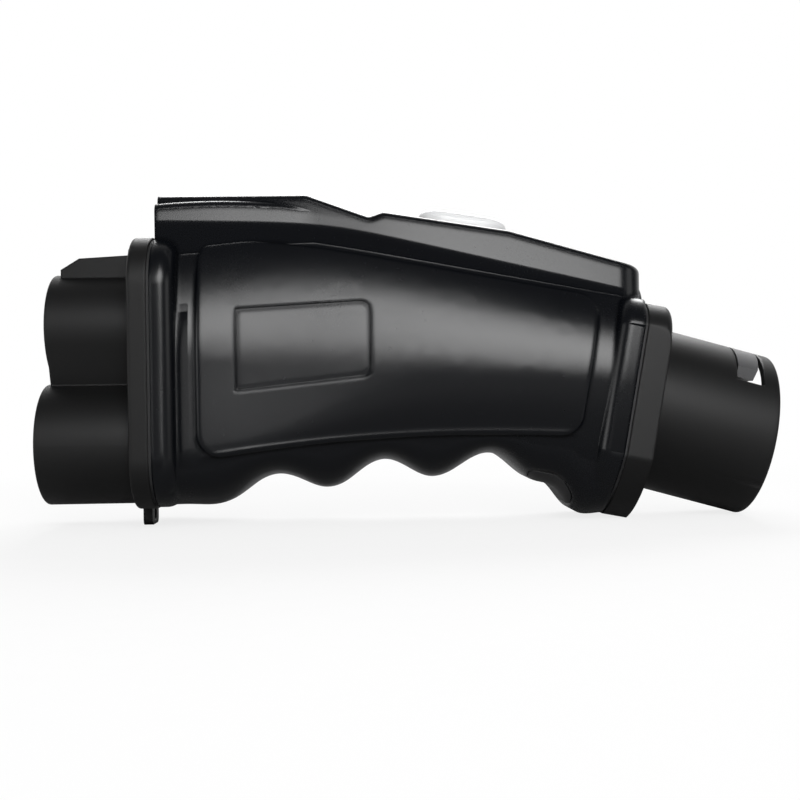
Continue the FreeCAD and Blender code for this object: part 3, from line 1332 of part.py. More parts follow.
def length_middle():
    """The middle of the whole length, which becomes X = 0."""
    left = SEAM_LEFT - GASKET_THICKNESS - INLET_FLANGE_THICKNESS - LOBE_LENGTH
    plug = math.radians(PLUG_TILT)
    seam = math.radians(SEAM_TILT)
    reach = (BARREL_RADIUS - BARREL_RIM_ROUND) * math.sin(seam) - BARREL_RIM_ROUND * math.cos(plug)
    right = plug_point(barrel_end(), 0).x + reach / math.cos(plug - seam) + BARREL_RIM_ROUND
    return (left + right) / 2


def main():
    os.makedirs("parts", exist_ok=True)
    shift = Vector(-length_middle(), 0, 0)
    for name, shape in pieces().items():
        placed = shape.copy()
        placed.translate(shift)
        placed.exportStep("parts/" + name + ".step")


main()
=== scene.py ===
"""The looks of a hand-held charging adapter, on the frame that the construction model gives.

Every sub-assembly is a class that finishes its own pieces. Lengths are in metres, in the frame's own axes: X runs
along the adapter from the inlet to the plug, Y points away from the viewer and Z is up.
"""
import json
import logging
import math
from dataclasses import dataclass, field
from enum import Enum
from typing import Iterable, Optional, Protocol, Sequence, Union

import bmesh
import bpy
from mathutils import Matrix, Vector

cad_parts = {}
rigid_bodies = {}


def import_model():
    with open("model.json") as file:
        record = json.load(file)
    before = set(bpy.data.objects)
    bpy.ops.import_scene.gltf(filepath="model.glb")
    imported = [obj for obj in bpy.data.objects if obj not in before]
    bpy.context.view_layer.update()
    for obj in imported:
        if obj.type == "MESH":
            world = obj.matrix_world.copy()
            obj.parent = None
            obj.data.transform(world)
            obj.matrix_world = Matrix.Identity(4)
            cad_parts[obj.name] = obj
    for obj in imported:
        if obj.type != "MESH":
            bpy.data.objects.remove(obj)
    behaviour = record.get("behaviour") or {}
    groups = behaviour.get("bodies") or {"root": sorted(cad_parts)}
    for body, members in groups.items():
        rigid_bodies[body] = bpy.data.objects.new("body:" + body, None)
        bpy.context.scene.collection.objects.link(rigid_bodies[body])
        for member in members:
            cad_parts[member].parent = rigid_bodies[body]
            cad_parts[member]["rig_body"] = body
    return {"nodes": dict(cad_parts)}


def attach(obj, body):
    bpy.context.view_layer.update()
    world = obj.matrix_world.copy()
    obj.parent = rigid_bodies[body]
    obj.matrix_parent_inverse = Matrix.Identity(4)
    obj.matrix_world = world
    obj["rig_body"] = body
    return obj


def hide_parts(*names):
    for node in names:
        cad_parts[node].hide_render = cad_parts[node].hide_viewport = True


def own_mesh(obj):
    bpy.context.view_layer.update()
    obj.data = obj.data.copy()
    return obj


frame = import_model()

logger = logging.getLogger("charging_adapter")

Number = Union[int, float]
Span = tuple[float, float]
Point = tuple[float, float, float]
Colour = tuple[float, float, float]

WHITE: Colour = (1.0, 1.0, 1.0)


class Operation(Enum):
    """What a Math node works out."""

    ADD = "ADD"
    SUBTRACT = "SUBTRACT"
    MULTIPLY = "MULTIPLY"
    DIVIDE = "DIVIDE"
    POWER = "POWER"
    MINIMUM = "MINIMUM"
    MAXIMUM = "MAXIMUM"
    EXPONENT = "EXPONENT"
    LOGARITHM = "LOGARITHM"


class Ray(Enum):
    """The kinds of ray that the floor and the background tell apart."""

    CAMERA = "Is Camera Ray"
    MIRRORED = "Is Glossy Ray"
    CLEAR = "Is Transmission Ray"


class Tree:
    """A material's or the world's node tree, with one method that makes every node."""

    def __init__(self, owner: Union[bpy.types.Material, bpy.types.World]) -> None:
        """Clears the owner's nodes.

        Args:
            owner: The material or world to fill.
        """
        owner.use_nodes = True
        self.tree = owner.node_tree
        self.tree.nodes.clear()

    def add(
        self, kind: str, settings: Optional[dict[str, object]] = None, **sockets: object
    ) -> bpy.types.Node:
        """Adds one node.

        Args:
            kind: The node's type name, such as ShaderNodeTexNoise.
            settings: Properties that are set first, such as an operation. "stops" fills a colour ramp.
            **sockets: Values or wires for the inputs, by name with underscores for spaces, or by _N for a
                position.

        Returns:
            The node.
        """
        made = self.tree.nodes.new(kind)
        for name, value in (settings or {}).items():
            if name == "stops":
                self._fill_ramp(made, value)
            else:
                setattr(made, name, value)
        for name, value in sockets.items():
            key = int(name[1:]) if name[0] == "_" else name.replace("_", " ")
            self._plug(made.inputs[key], value)
        return made

    def node(self, kind: str, settings: Optional[dict[str, object]] = None, **sockets: object) -> "Wire":
        """Adds one node, as add does, and returns its first output that is enabled."""
        made = self.add(kind, settings, **sockets)
        return Wire(self, next(socket for socket in made.outputs if socket.enabled))

    def ray(self, kind: Ray) -> "Wire":
        """Returns 1 for one kind of ray and 0 for the others."""
        return Wire(self, self.add("ShaderNodeLightPath").outputs[kind.value])

    def split(self, vector: "Wire") -> tuple["Wire", "Wire", "Wire"]:
        """Returns a vector's X, Y and Z."""
        outputs = self.add("ShaderNodeSeparateXYZ", Vector=vector).outputs
        return Wire(self, outputs["X"]), Wire(self, outputs["Y"]), Wire(self, outputs["Z"])

    def _plug(self, socket: bpy.types.NodeSocket, value: object) -> None:
        """Sets an input, or links a wire to it.

        Args:
            socket: The input.
            value: A wire, a number or a tuple.
        """
        if isinstance(value, Wire):
            self.tree.links.new(value.socket, socket)
        elif isinstance(value, tuple) and len(value) == 3 and len(socket.default_value) == 4:
            socket.default_value = (*value, 1.0)
        else:
            socket.default_value = value

    @staticmethod
    def _fill_ramp(made: bpy.types.Node, stops: Sequence[tuple[float, Colour]]) -> None:
        """Fills a colour ramp.

        Args:
            made: The ramp's node.
            stops: Places from 0 to 1 with their colours.
        """
        elements = made.color_ramp.elements
        for element, (place, colour) in zip(elements, stops):
            element.position = place
            element.color = (*colour, 1.0)


class Wire:
    """An output socket whose arithmetic adds Math nodes."""

    def __init__(self, tree: Tree, socket: bpy.types.NodeSocket) -> None:
        """Wraps a socket.

        Args:
            tree: The tree that the socket's node is in.
            socket: The output socket.
        """
        self.tree = tree
        self.socket = socket

    def _math(self, operation: Operation, first: object, second: Optional[object] = None) -> "Wire":
        """Adds one Math node.

        Args:
            operation: What the node works out.
            first: Its first value or wire.
            second: Its second value or wire, if it takes one.

        Returns:
            The result.
        """
        settings = {"operation": operation.value}
        if second is None:
            return self.tree.node("ShaderNodeMath", settings, _0=first)
        return self.tree.node("ShaderNodeMath", settings, _0=first, _1=second)

    def __add__(self, other: Union["Wire", Number]) -> "Wire":
        """Returns self + other."""
        return self._math(Operation.ADD, self, other)

    __radd__ = __add__

    def __sub__(self, other: Union["Wire", Number]) -> "Wire":
        """Returns self - other."""
        return self._math(Operation.SUBTRACT, self, other)

    def __rsub__(self, other: Number) -> "Wire":
        """Returns other - self."""
        return self._math(Operation.SUBTRACT, other, self)

    def __mul__(self, other: Union["Wire", Number]) -> "Wire":
        """Returns self * other."""
        return self._math(Operation.MULTIPLY, self, other)

    __rmul__ = __mul__

    def __truediv__(self, other: Union["Wire", Number]) -> "Wire":
        """Returns self / other."""
        return self._math(Operation.DIVIDE, self, other)

    def __pow__(self, other: Number) -> "Wire":
        """Returns self to the power of other."""
        return self._math(Operation.POWER, self, other)

    def larger(self, other: Union["Wire", Number]) -> "Wire":
        """Returns the larger of the two values."""
        return self._math(Operation.MAXIMUM, self, other)

    def smaller(self, other: Union["Wire", Number]) -> "Wire":
        """Returns the smaller of the two values."""
        return self._math(Operation.MINIMUM, self, other)

    def clamped(self) -> "Wire":
        """Returns the value held between 0 and 1."""
        return self.smaller(1.0).larger(0.0)

    def swing(self, width: float) -> "Wire":
        """Returns a noise value as a change about zero that is this wide in all."""
        return (self - 0.5) * width

    def bell(self, width: float) -> "Wire":
        """Returns a bell curve of the value, 1 at zero and about a third at the width."""
        share = self / width
        return self._math(Operation.EXPONENT, share * share * -1.0)

    def softplus(self, width: float) -> "Wire":
        """Returns a bend that is 0 on the left, the value on the right and smooth over a width between."""
        grown = self._math(Operation.EXPONENT, self / width)
        return self._math(Operation.LOGARITHM, grown + 1.0, math.e) * width

    def ramp(self, low: float, high: float) -> "Wire":
        """Returns a smooth step from 0 at low to 1 at high."""
        settings = {"interpolation_type": "SMOOTHSTEP"}
        return self.tree.node("ShaderNodeMapRange", settings, Value=self, From_Min=low, From_Max=high)

    def blend(self, first: Colour, second: Colour) -> "Wire":
        """Returns the first colour where the value is 0 and the second where it is 1."""
        return self.tree.node("ShaderNodeValToRGB", {"stops": [(0.0, first), (1.0, second)]}, Fac=self)


@dataclass(frozen=True)
class Pattern:
    """A noise that a finish uses.

    Attributes:
        scale: Cells for each metre.
        detail: How many finer layers it has.
        roughness: How strong they are.
    """

    scale: float
    detail: float = 2.0
    roughness: float = 0.5


class Surface(Tree):
    """A material with helpers for the patterns that moulded and machined pieces share."""

    EDGE_SAMPLES: int = 8

    def __init__(self, name: str) -> None:
        """Makes an empty material.

        Args:
            name: The material's name.
        """
        self.material = bpy.data.materials.new(name)
        super().__init__(self.material)
        self.place = Wire(self, self.add("ShaderNodeTexCoord").outputs["Object"])

    def noise(self, pattern: Pattern, stretch: Optional[Point] = None) -> Wire:
        """Returns a noise value from 0 to 1.

        Args:
            pattern: Its size and detail.
            stretch: The factor of each axis, where it is drawn out as brushing or turning leaves it.

        Returns:
            The noise.
        """
        place = self.place
        if stretch is not None:
            place = self.node("ShaderNodeMapping", Vector=place, Scale=stretch)
        return self.node(
            "ShaderNodeTexNoise",
            Vector=place, Scale=pattern.scale, Detail=pattern.detail, Roughness=pattern.roughness,
        )

    def bump(self, height: Wire, depth: float = 1.0, edge: float = 0.0) -> Wire:
        """Returns a normal from a height.

        Args:
            height: The height, in metres or from 0 to 1.
            depth: How many metres a height of 1 stands.
            edge: How far an edge is softened, in metres.

        Returns:
            The normal.
        """
        if edge == 0.0:
            return self.node("ShaderNodeBump", Height=height, Distance=depth)
        softened = self.node("ShaderNodeBevel", {"samples": self.EDGE_SAMPLES}, Radius=edge)
        return self.node("ShaderNodeBump", Height=height, Distance=depth, Normal=softened)

    def finish(self, **sockets: object) -> bpy.types.Material:
        """Adds the shader, with these inputs, and returns the finished material."""
        return self.end(self.node("ShaderNodeBsdfPrincipled", **sockets))

    def end(self, shader: Wire) -> bpy.types.Material:
        """Links a shader to the material's output and returns the finished material."""
        self.add("ShaderNodeOutputMaterial", Surface=shader)
        return self.material


class Finish(Protocol):
    """What every finish can do."""

    def make(self) -> bpy.types.Material:
        """Returns the material."""


@dataclass(frozen=True)
class MouldedPlastic:
    """An injection-moulded plastic with a fine spark-eroded grain.

    Attributes:
        name: The material's name.
        colour: Its base colour.
        roughness: The mean roughness.
        grain: The size of the grain, in metres.
        relief: The height of the grain, in metres.
        specular: The specular level.
        edge: How far its edges are softened, in metres.
        patches: The slow change in its tone.
        grain_share: How much of that change comes from the grain instead.
        tones: The factors of the darkest and of the palest tone.
        lift: What the palest tone has on top.
        unevenness: How wide the roughness swings with the patches, and as much again with the grain.
        dust: The pattern of the dust.
        dust_mask: Between which of that pattern's values dust sets in.
        dust_dulling: How much rougher dust is.
    """

    name: str
    colour: Colour
    roughness: float = 0.36
    grain: float = 0.0007
    relief: float = 0.000010
    specular: float = 0.5
    edge: float = 0.0
    patches: Pattern = Pattern(22.0, 3.0)
    grain_share: float = 0.2
    tones: Span = (0.86, 1.14)
    lift: float = 0.0003
    unevenness: float = 0.05
    dust: Pattern = Pattern(310.0, 4.0, 0.7)
    dust_mask: Span = (0.62, 0.80)
    dust_dulling: float = 0.04

    def height(self, surface: Surface, fine: Wire) -> Wire:
        """Returns the height in metres of what only the shading shows."""
        return fine * self.relief

    def make(self) -> bpy.types.Material:
        """Makes the material.

        Returns:
            The finished material.
        """
        surface = Surface(self.name)
        fine = surface.noise(Pattern(1.0 / self.grain))
        broad = surface.noise(self.patches)
        dust = surface.noise(self.dust).ramp(*self.dust_mask)
        dark, pale = self.tones
        darkest = tuple(channel * dark for channel in self.colour)
        palest = tuple(channel * pale + self.lift for channel in self.colour)
        tone = broad * (1.0 - self.grain_share) + fine * self.grain_share
        swing = self.roughness + broad.swing(self.unevenness) + fine.swing(self.unevenness)
        return surface.finish(
            Base_Color=tone.clamped().blend(darkest, palest),
            Roughness=swing + dust * self.dust_dulling,
            Specular_IOR_Level=self.specular,
            Normal=surface.bump(self.height(surface, fine), edge=self.edge),
        )


@dataclass(frozen=True)
class GripPlastic(MouldedPlastic):
    """The housing's plastic, with the soft forms between its ridge, its side panel and its left collar.

    Attributes:
        upright: Between which squares of its normal's Y part a face starts to show these forms.
        fold_height: The height of the upper edge of the hollow at the ridge's foot, at the inlet's end.
        fold_start: Where that edge starts to fall.
        fold_fall: How steeply it falls from there.
        fold_bend: How wide the bend is at that start.
        fold_reach: How far the hollow reaches down.
        fold_width: Over how much height the ridge's side turns into the hollow.
        fold_slope: How much the hollow leans back, as a slope.
        draft: How much the ridge's side leans back, as a slope.
        crease_peak: Where the side panel's lower edge is highest, along X and Z.
        crease_fall: How fast that edge falls away from there.
        tuck_slope: How much the panel tucks in above that edge, as a slope.
        tuck_heights: How far up it does so at the inlet's end and at the plug's end.
        tuck_change: Between which places along X the one turns into the other.
        tuck_bend: How soft the tuck's upper end is, as a share of its height.
        lean: How much the panel leans back at the inlet's end, as a slope.
        lean_height: How far up from the lower edge it does so.
        lean_bend: Over how much height the lean ends.
        panel_ends: The places along X of the panel's ends.
        panel_fade: Over how much length the bead ends there.
        bead: The height and the half width of the bead along the panel's lower edge.
        valley: Between which places along X the hollow beside the left collar lies.
        valley_slope: How much its floor is turned, as a slope.
        valley_start: Between which places along X it sets in, just past the collar.
        valley_top: Between which heights it ends, under the ridge.
    """

    upright: Span = (0.93, 0.97)
    fold_height: float = 0.1202
    fold_start: float = -0.0344
    fold_fall: float = 0.235
    fold_bend: float = 0.0022
    fold_reach: float = 0.016
    fold_width: float = 0.0015
    fold_slope: float = 0.5
    draft: float = 0.19
    crease_peak: Span = (0.0206, 0.035)
    crease_fall: float = 0.75
    tuck_slope: float = 0.3
    tuck_heights: Span = (0.0035, 0.017)
    tuck_change: Span = (-0.07, 0.015)
    tuck_bend: float = 0.25
    lean: float = 0.06
    lean_height: float = 0.032
    lean_bend: float = 0.008
    panel_ends: Span = (-0.084, 0.064)
    panel_fade: float = 0.004
    bead: Span = (0.0005, 0.0013)
    valley: Span = (-0.0927, -0.0866)
    valley_slope: float = 0.45
    valley_start: Span = (-0.0947, -0.0937)
    valley_top: Span = (0.099, 0.101)

    def height(self, surface: Surface, fine: Wire) -> Wire:
        """Adds the soft forms on the upright sides of the ridge and the belly to the grain.

        Args:
            surface: The material that is being made.
            fine: The grain.

        Returns:
            The height.
        """
        along, _, up = surface.split(surface.place)
        facing = Wire(surface, surface.add("ShaderNodeNewGeometry").outputs["True Normal"])
        _, sideways, _ = surface.split(facing)
        shown = (sideways * sideways).ramp(*self.upright)
        forms = self._fold(along, up) + self._crease(along, up) + self._valley(along, up)
        return super().height(surface, fine) + forms * shown

    def _fold(self, along: Wire, up: Wire) -> Wire:
        """Returns the height of the hollow at the ridge's foot.

        Args:
            along: The place along X.
            up: The place along Z.

        Returns:
            The height.
        """
        line = self.fold_height - ((along - self.fold_start) * self.fold_fall).softplus(self.fold_bend)
        depth = (line - up).smaller(self.fold_reach)
        inside = depth.larger(0.0)
        hollow = ((inside * inside + self.fold_width ** 2) ** 0.5 - self.fold_width) * self.fold_slope
        return hollow + depth * self.draft

    def _crease(self, along: Wire, up: Wire) -> Wire:
        """Returns the height of the tuck and the bead along the panel's lower edge, and of the panel's lean.

        Args:
            along: The place along X.
            up: The place along Z.

        Returns:
            The height.
        """
        peak, peak_height = self.crease_peak
        from_peak = along - peak
        above = up - (peak_height - from_peak * from_peak * self.crease_fall)
        to_plug = along.ramp(*self.tuck_change)
        at_inlet, at_plug = self.tuck_heights
        reach = at_inlet + to_plug * (at_plug - at_inlet)
        tuck = ((reach - above) / reach).softplus(self.tuck_bend) * reach * -self.tuck_slope
        fading = (self.lean_height - above).softplus(self.lean_bend)
        leaning = (1.0 - to_plug) * (self.lean_height - fading) * -self.lean
        start, end = self.panel_ends
        past_end = along.ramp(end - self.panel_fade, end)
        within = along.ramp(start, start + self.panel_fade) * (1.0 - past_end)
        bead_height, half_width = self.bead
        return tuck + leaning + (above - half_width).bell(half_width) * bead_height * within

    def _valley(self, along: Wire, up: Wire) -> Wire:
        """Returns the height of the hollow beside the left collar.

        Args:
            along: The place along X.
            up: The place along Z.

        Returns:
            The height.
        """
        start, end = self.valley
        inside = along.larger(start).smaller(end) - end
        below_ridge = 1.0 - up.ramp(*self.valley_top)
        return inside * self.valley_slope * below_ridge * along.ramp(*self.valley_start)


@dataclass(frozen=True)
class Rubber:
    """A soft moulded rubber: dull, with a dusty bloom.

    Attributes:
        name: The material's name.
        colour: Its base colour.
        roughness: The mean roughness.
        grain: The pattern of its grain.
        relief: The height of the grain, in metres.
        bloom: The pattern of the bloom.
        bloom_mask: Between which of that pattern's values the bloom sets in.
        bloom_tone: The bloom's factor on the colour, and what it adds.
        unevenness: How wide the roughness swings with the bloom.
    """

    name: str
    colour: Colour
    roughness: float = 0.62
    grain: Pattern = Pattern(2600.0, 3.0)
    relief: float = 0.000018
    bloom: Pattern = Pattern(60.0, 4.0, 0.6)
    bloom_mask: Span = (0.35, 0.8)
    bloom_tone: Span = (1.5, 0.004)
    unevenness: float = 0.16

    def make(self) -> bpy.types.Material:
        """Makes the material.

        Returns:
            The finished material.
        """
        surface = Surface(self.name)
        fine = surface.noise(self.grain)
        bloom = surface.noise(self.bloom)
        factor, lift = self.bloom_tone
        pale = tuple(channel * factor + lift for channel in self.colour)
        return surface.finish(
            Base_Color=bloom.ramp(*self.bloom_mask).blend(self.colour, pale),
            Roughness=self.roughness + bloom.swing(self.unevenness),
            Normal=surface.bump(fine, self.relief),
        )


@dataclass(frozen=True)
class TurnedMetal:
    """A turned or drawn metal with fine tool marks and a slight tarnish.

    Attributes:
        name: The material's name.
        colour: Its base colour.
        tarnish: The colour of its tarnish.
        roughness: The mean roughness.
        stretch: How the tool marks are drawn out along each axis.
        marks: The pattern of the tool marks.
        relief: Their height, in metres.
        unevenness: How wide the roughness swings with them.
        stain: The pattern of the tarnish.
        stain_mask: Between which of that pattern's values the tarnish sets in.
        stain_dulling: How much rougher the tarnish is.
    """

    name: str
    colour: Colour
    tarnish: Colour
    roughness: float = 0.24
    stretch: Point = (14.0, 1.0, 1.0)
    marks: Pattern = Pattern(260.0)
    relief: float = 0.000006
    unevenness: float = 0.14
    stain: Pattern = Pattern(90.0, 4.0, 0.6)
    stain_mask: Span = (0.5, 0.85)
    stain_dulling: float = 0.12

    def make(self) -> bpy.types.Material:
        """Makes the material.

        Returns:
            The finished material.
        """
        surface = Surface(self.name)
        marks = surface.noise(self.marks, self.stretch)
        stain = surface.noise(self.stain).ramp(*self.stain_mask)
        return surface.finish(
            Base_Color=stain.blend(self.colour, self.tarnish),
            Metallic=1.0,
            Roughness=self.roughness + marks.swing(self.unevenness) + stain * self.stain_dulling,
            Normal=surface.bump(marks, self.relief),
        )


@dataclass(frozen=True)
class BlackenedSteel:
    """A screw's black oxide, rubbed bright in places.

    Attributes:
        name: The material's name.
        oxide: The colour of the oxide.
        rubbed: The colour where it is rubbed.
        metallic: How metallic it is.
        roughness: The roughness of the oxide.
        polish: How much smoother it is where it is rubbed.
        wear: The pattern of the rubbed places.
        wear_mask: Between which of that pattern's values they set in.
        grain: The pattern of its grain.
        relief: The height of the grain, in metres.
    """

    name: str
    oxide: Colour = (0.035, 0.035, 0.038)
    rubbed: Colour = (0.19, 0.185, 0.18)
    metallic: float = 0.85
    roughness: float = 0.42
    polish: float = 0.12
    wear: Pattern = Pattern(900.0, 3.0, 0.6)
    wear_mask: Span = (0.6, 0.78)
    grain: Pattern = Pattern(1800.0)
    relief: float = 0.000006

    def make(self) -> bpy.types.Material:
        """Makes the material.

        Returns:
            The finished material.
        """
        surface = Surface(self.name)
        wear = surface.noise(self.wear).ramp(*self.wear_mask)
        return surface.finish(
            Base_Color=wear.blend(self.oxide, self.rubbed),
            Metallic=self.metallic,
            Roughness=self.roughness - wear * self.polish,
            Normal=surface.bump(surface.noise(self.grain), self.relief),
        )


@dataclass(frozen=True)
class CircuitBoard:
    """Green solder resist over copper tracks.

    Attributes:
        name: The material's name.
        pitch: The spacing of the tracks, in metres.
        track_mask: Between which of the pattern's values a track sets in.
        resist: The colour of the resist alone.
        over_copper: The colour of the resist over a track.
        roughness: The roughness of the resist.
        track_dulling: How much rougher it is over a track.
        relief: How high a track stands, in metres.
    """

    name: str
    pitch: float = 0.0022
    track_mask: Span = (0.30, 0.38)
    resist: Colour = (0.010, 0.085, 0.035)
    over_copper: Colour = (0.022, 0.16, 0.062)
    roughness: float = 0.26
    track_dulling: float = 0.08
    relief: float = 0.00003

    def make(self) -> bpy.types.Material:
        """Makes the material.

        Returns:
            The finished material.
        """
        surface = Surface(self.name)
        cells = surface.node(
            "ShaderNodeTexVoronoi", {"distance": "CHEBYCHEV"}, Vector=surface.place, Scale=1.0 / self.pitch
        )
        tracks = cells.ramp(*self.track_mask)
        return surface.finish(
            Base_Color=tracks.blend(self.resist, self.over_copper),
            Roughness=self.roughness + tracks * self.track_dulling,
            Normal=surface.bump(tracks, self.relief),
        )


@dataclass(frozen=True)
class ShrinkSleeve:
    """The thin film round a battery cell.

    Attributes:
        name: The material's name.
        colour: Its base colour.
        wrinkles: The pattern of its wrinkles.
        stretch: How they are drawn out along each axis.
        relief: Their height, in metres.
        shade: The factor of the colour in the hollows between them, a painted shade of the folds.
        roughness: The lowest roughness.
        dulling: How much rougher it is on them.
    """

    name: str
    colour: Colour
    wrinkles: Pattern = Pattern(300.0)
    stretch: Point = (0.4, 1.0, 1.0)
    relief: float = 0.00005
    shade: float = 0.8
    roughness: float = 0.28
    dulling: float = 0.1

    def make(self) -> bpy.types.Material:
        """Makes the material.

        Returns:
            The finished material.
        """
        surface = Surface(self.name)
        wrinkles = surface.noise(self.wrinkles, self.stretch)
        # Painted shade: the hollows between the wrinkles get a darker colour.
        painted_fold_shade = tuple(channel * self.shade for channel in self.colour)
        return surface.finish(
            Base_Color=wrinkles.blend(painted_fold_shade, self.colour),
            Roughness=self.roughness + wrinkles * self.dulling,
            Normal=surface.bump(wrinkles, self.relief),
        )


@dataclass(frozen=True)
class PaleFloor:
    """A matt, pale floor that keeps the object's shadow and turns plain white away from it.

    Attributes:
        name: The material's name.
        seen: The grey of its matt part, as the camera sees it.
        sent_back: The grey of its matt part for the light that it sends back to the object.
        grain: The pattern of its grain.
        grain_share: How much of its tone comes from the grain, and how much rougher it is there.
        roughness: The lowest roughness.
        white_share: How much of plain white it shows at the object.
        fade: Between which distances from the origin it turns plain white.
        mirrored_from: Between which places along Y its white starts to show in what mirrors it.
    """

    name: str
    seen: Colour = (0.9, 0.9, 0.9)
    sent_back: Colour = (0.3, 0.3, 0.3)
    grain: Pattern = Pattern(140.0, 3.0)
    grain_share: float = 0.1
    roughness: float = 0.8
    white_share: float = 0.8
    fade: Span = (0.2025, 0.45)
    mirrored_from: Span = (-0.1, 0.3)

    def make(self) -> bpy.types.Material:
        """Makes the material.

        Returns:
            The finished material.
        """
        surface = Surface(self.name)
        length = surface.add("ShaderNodeVectorMath", {"operation": "LENGTH"}, _0=surface.place)
        away = Wire(surface, length.outputs["Value"]).ramp(*self.fade)
        grain = surface.noise(self.grain)
        camera = surface.ray(Ray.CAMERA)
        tone = camera * (1.0 - self.grain_share) + grain * self.grain_share
        matt = surface.node(
            "ShaderNodeBsdfPrincipled",
            Base_Color=tone.blend(self.sent_back, self.seen),
            Roughness=self.roughness + grain * self.grain_share,
        )
        white = surface.node("ShaderNodeEmission", Strength=1.0)
        share = self.white_share + away * (1.0 - self.white_share)
        mirrored = surface.ray(Ray.MIRRORED).larger(surface.ray(Ray.CLEAR))
        _, depth, _ = surface.split(surface.place)
        behind = depth.ramp(*self.mirrored_from)
        shown = (camera * share).larger(mirrored * away * behind)
        return surface.end(surface.node("ShaderNodeMixShader", _0=shown, _1=matt, _2=white))


HOUSING_BLACK = GripPlastic("housing_black", (0.0016, 0.0021, 0.0034), 0.26, 0.0006, 0.000008, 0.38, 0.0024)
SHELL_BLACK = MouldedPlastic(
    "connector_black", (0.0024, 0.0024, 0.0026), 0.5, 0.0005, 0.000010, 0.38, 0.0012
)
INSULATOR_GREY = MouldedPlastic("insulator_grey", (0.026, 0.026, 0.028), 0.5, 0.0006, 0.000010)
LEVER_GREY = MouldedPlastic("lever_grey", (0.06, 0.06, 0.063), 0.45, 0.0006, 0.000010)
BUTTON_GREY = MouldedPlastic("button_grey", (0.79, 0.795, 0.8), 0.33, 0.0006, 0.000006, 0.5, 0.0008)
GASKET_BLACK = Rubber("gasket_black", (0.015, 0.015, 0.016))
COVER_BLACK = Rubber("cover_black", (0.018, 0.018, 0.019), 0.5)
SCREW_BLACK = BlackenedSteel("screw_black")
SILVER_PLATE = TurnedMetal("silver_plate", (0.78, 0.77, 0.74), (0.5, 0.46, 0.38))
BARE_COPPER = TurnedMetal("bare_copper", (0.72, 0.36, 0.22), (0.42, 0.2, 0.12), 0.34, (1.0, 8.0, 8.0))
SPRING_STEEL = TurnedMetal("spring_steel", (0.5, 0.5, 0.51), (0.3, 0.29, 0.28), 0.28)
BOARD_GREEN = CircuitBoard("board_green")
CELL_BLUE = ShrinkSleeve("cell_blue", (0.05, 0.16, 0.42))
FLOOR_PALE = PaleFloor("floor_pale")


@dataclass
class Assembly:
    """A group of the construction's nodes, each shown as a merged, smoothly shaded piece.

    Attributes:
        finishes: Which finish each node has.
        crease: The angle in degrees from which an edge stays sharp.
        merged_under: The distance in metres under which corners are one.
        dissolved_under: The length in metres under which an edge goes.
        area_weight: How much a face's area counts in the shading, from 1 to 100.
    """

    finishes: dict[str, Finish] = field(default_factory=dict)
    crease: float = 28.0
    merged_under: float = 2e-6
    dissolved_under: float = 1e-6
    area_weight: int = 50

    def build(self) -> dict[str, bpy.types.Object]:
        """Dresses every node of the group.

        Returns:
            The pieces, by their nodes' names.
        """
        made: dict[Finish, bpy.types.Material] = {}
        pieces: dict[str, bpy.types.Object] = {}
        for node, finish in self.finishes.items():
            if finish not in made:
                made[finish] = finish.make()
            pieces[node] = self._dress(node, made[finish])
        logger.info("%s is complete", type(self).__name__)
        return pieces

    def _dress(self, name: str, material: bpy.types.Material) -> bpy.types.Object:
        """Makes the piece that stands for a node.

        Args:
            name: The node's name.
            material: Its finish.

        Returns:
            The piece.
        """
        node = frame["nodes"][name]
        mesh = self._merged(node.data, name + "_finished")
        mesh.materials.append(material)
        piece = bpy.data.objects.new(name + "_finished", mesh)
        bpy.context.scene.collection.objects.link(piece)
        even = piece.modifiers.new("even_shading", "WEIGHTED_NORMAL")
        even.keep_sharp = True
        even.mode = "FACE_AREA_WITH_ANGLE"
        even.weight = self.area_weight
        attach(piece, node["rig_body"])
        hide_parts(name)
        logger.info("%s: %d faces", piece.name, len(mesh.polygons))
        return piece

    def _merged(self, source: bpy.types.Mesh, name: str) -> bpy.types.Mesh:
        """Returns a merged copy of a node's mesh, smooth but for its creases.

        Args:
            source: The node's mesh.
            name: The copy's name.

        Returns:
            The copy.
        """
        shape = bmesh.new()
        shape.from_mesh(source)
        bmesh.ops.remove_doubles(shape, verts=shape.verts, dist=self.merged_under)
        bmesh.ops.dissolve_degenerate(shape, edges=shape.edges, dist=self.dissolved_under)
        limit = math.radians(self.crease)
        for edge in shape.edges:
            edge.smooth = len(edge.link_faces) == 2 and edge.calc_face_angle(0.0) < limit
        for face in shape.faces:
            face.smooth = True
        mesh = bpy.data.meshes.new(name)
        shape.to_mesh(mesh)
        shape.free()
        return mesh


@dataclass
class GripHousing(Assembly):
    """The two halves of the moulded housing and their screws."""

    finishes: dict[str, Finish] = field(default_factory=lambda: {
        "housing_near": HOUSING_BLACK,
        "housing_far": HOUSING_BLACK,
        "housing_screws": SCREW_BLACK,
    })


@dataclass
class ChargingInlet(Assembly):
    """The two-lobed inlet at the left, with its pins and its tether eyelet."""

    finishes: dict[str, Finish] = field(default_factory=lambda: {
        "inlet_shell": SHELL_BLACK,
        "inlet_gasket": GASKET_BLACK,
        "inlet_screws": SCREW_BLACK,
        "tether_eyelet": SHELL_BLACK,
        "signal_pin_carrier": INSULATOR_GREY,
        "power_pin_carrier": INSULATOR_GREY,
        "signal_pins": SILVER_PLATE,
        "earth_pin": SILVER_PLATE,
        "power_pin_positive": SILVER_PLATE,
        "power_pin_negative": SILVER_PLATE,
    })


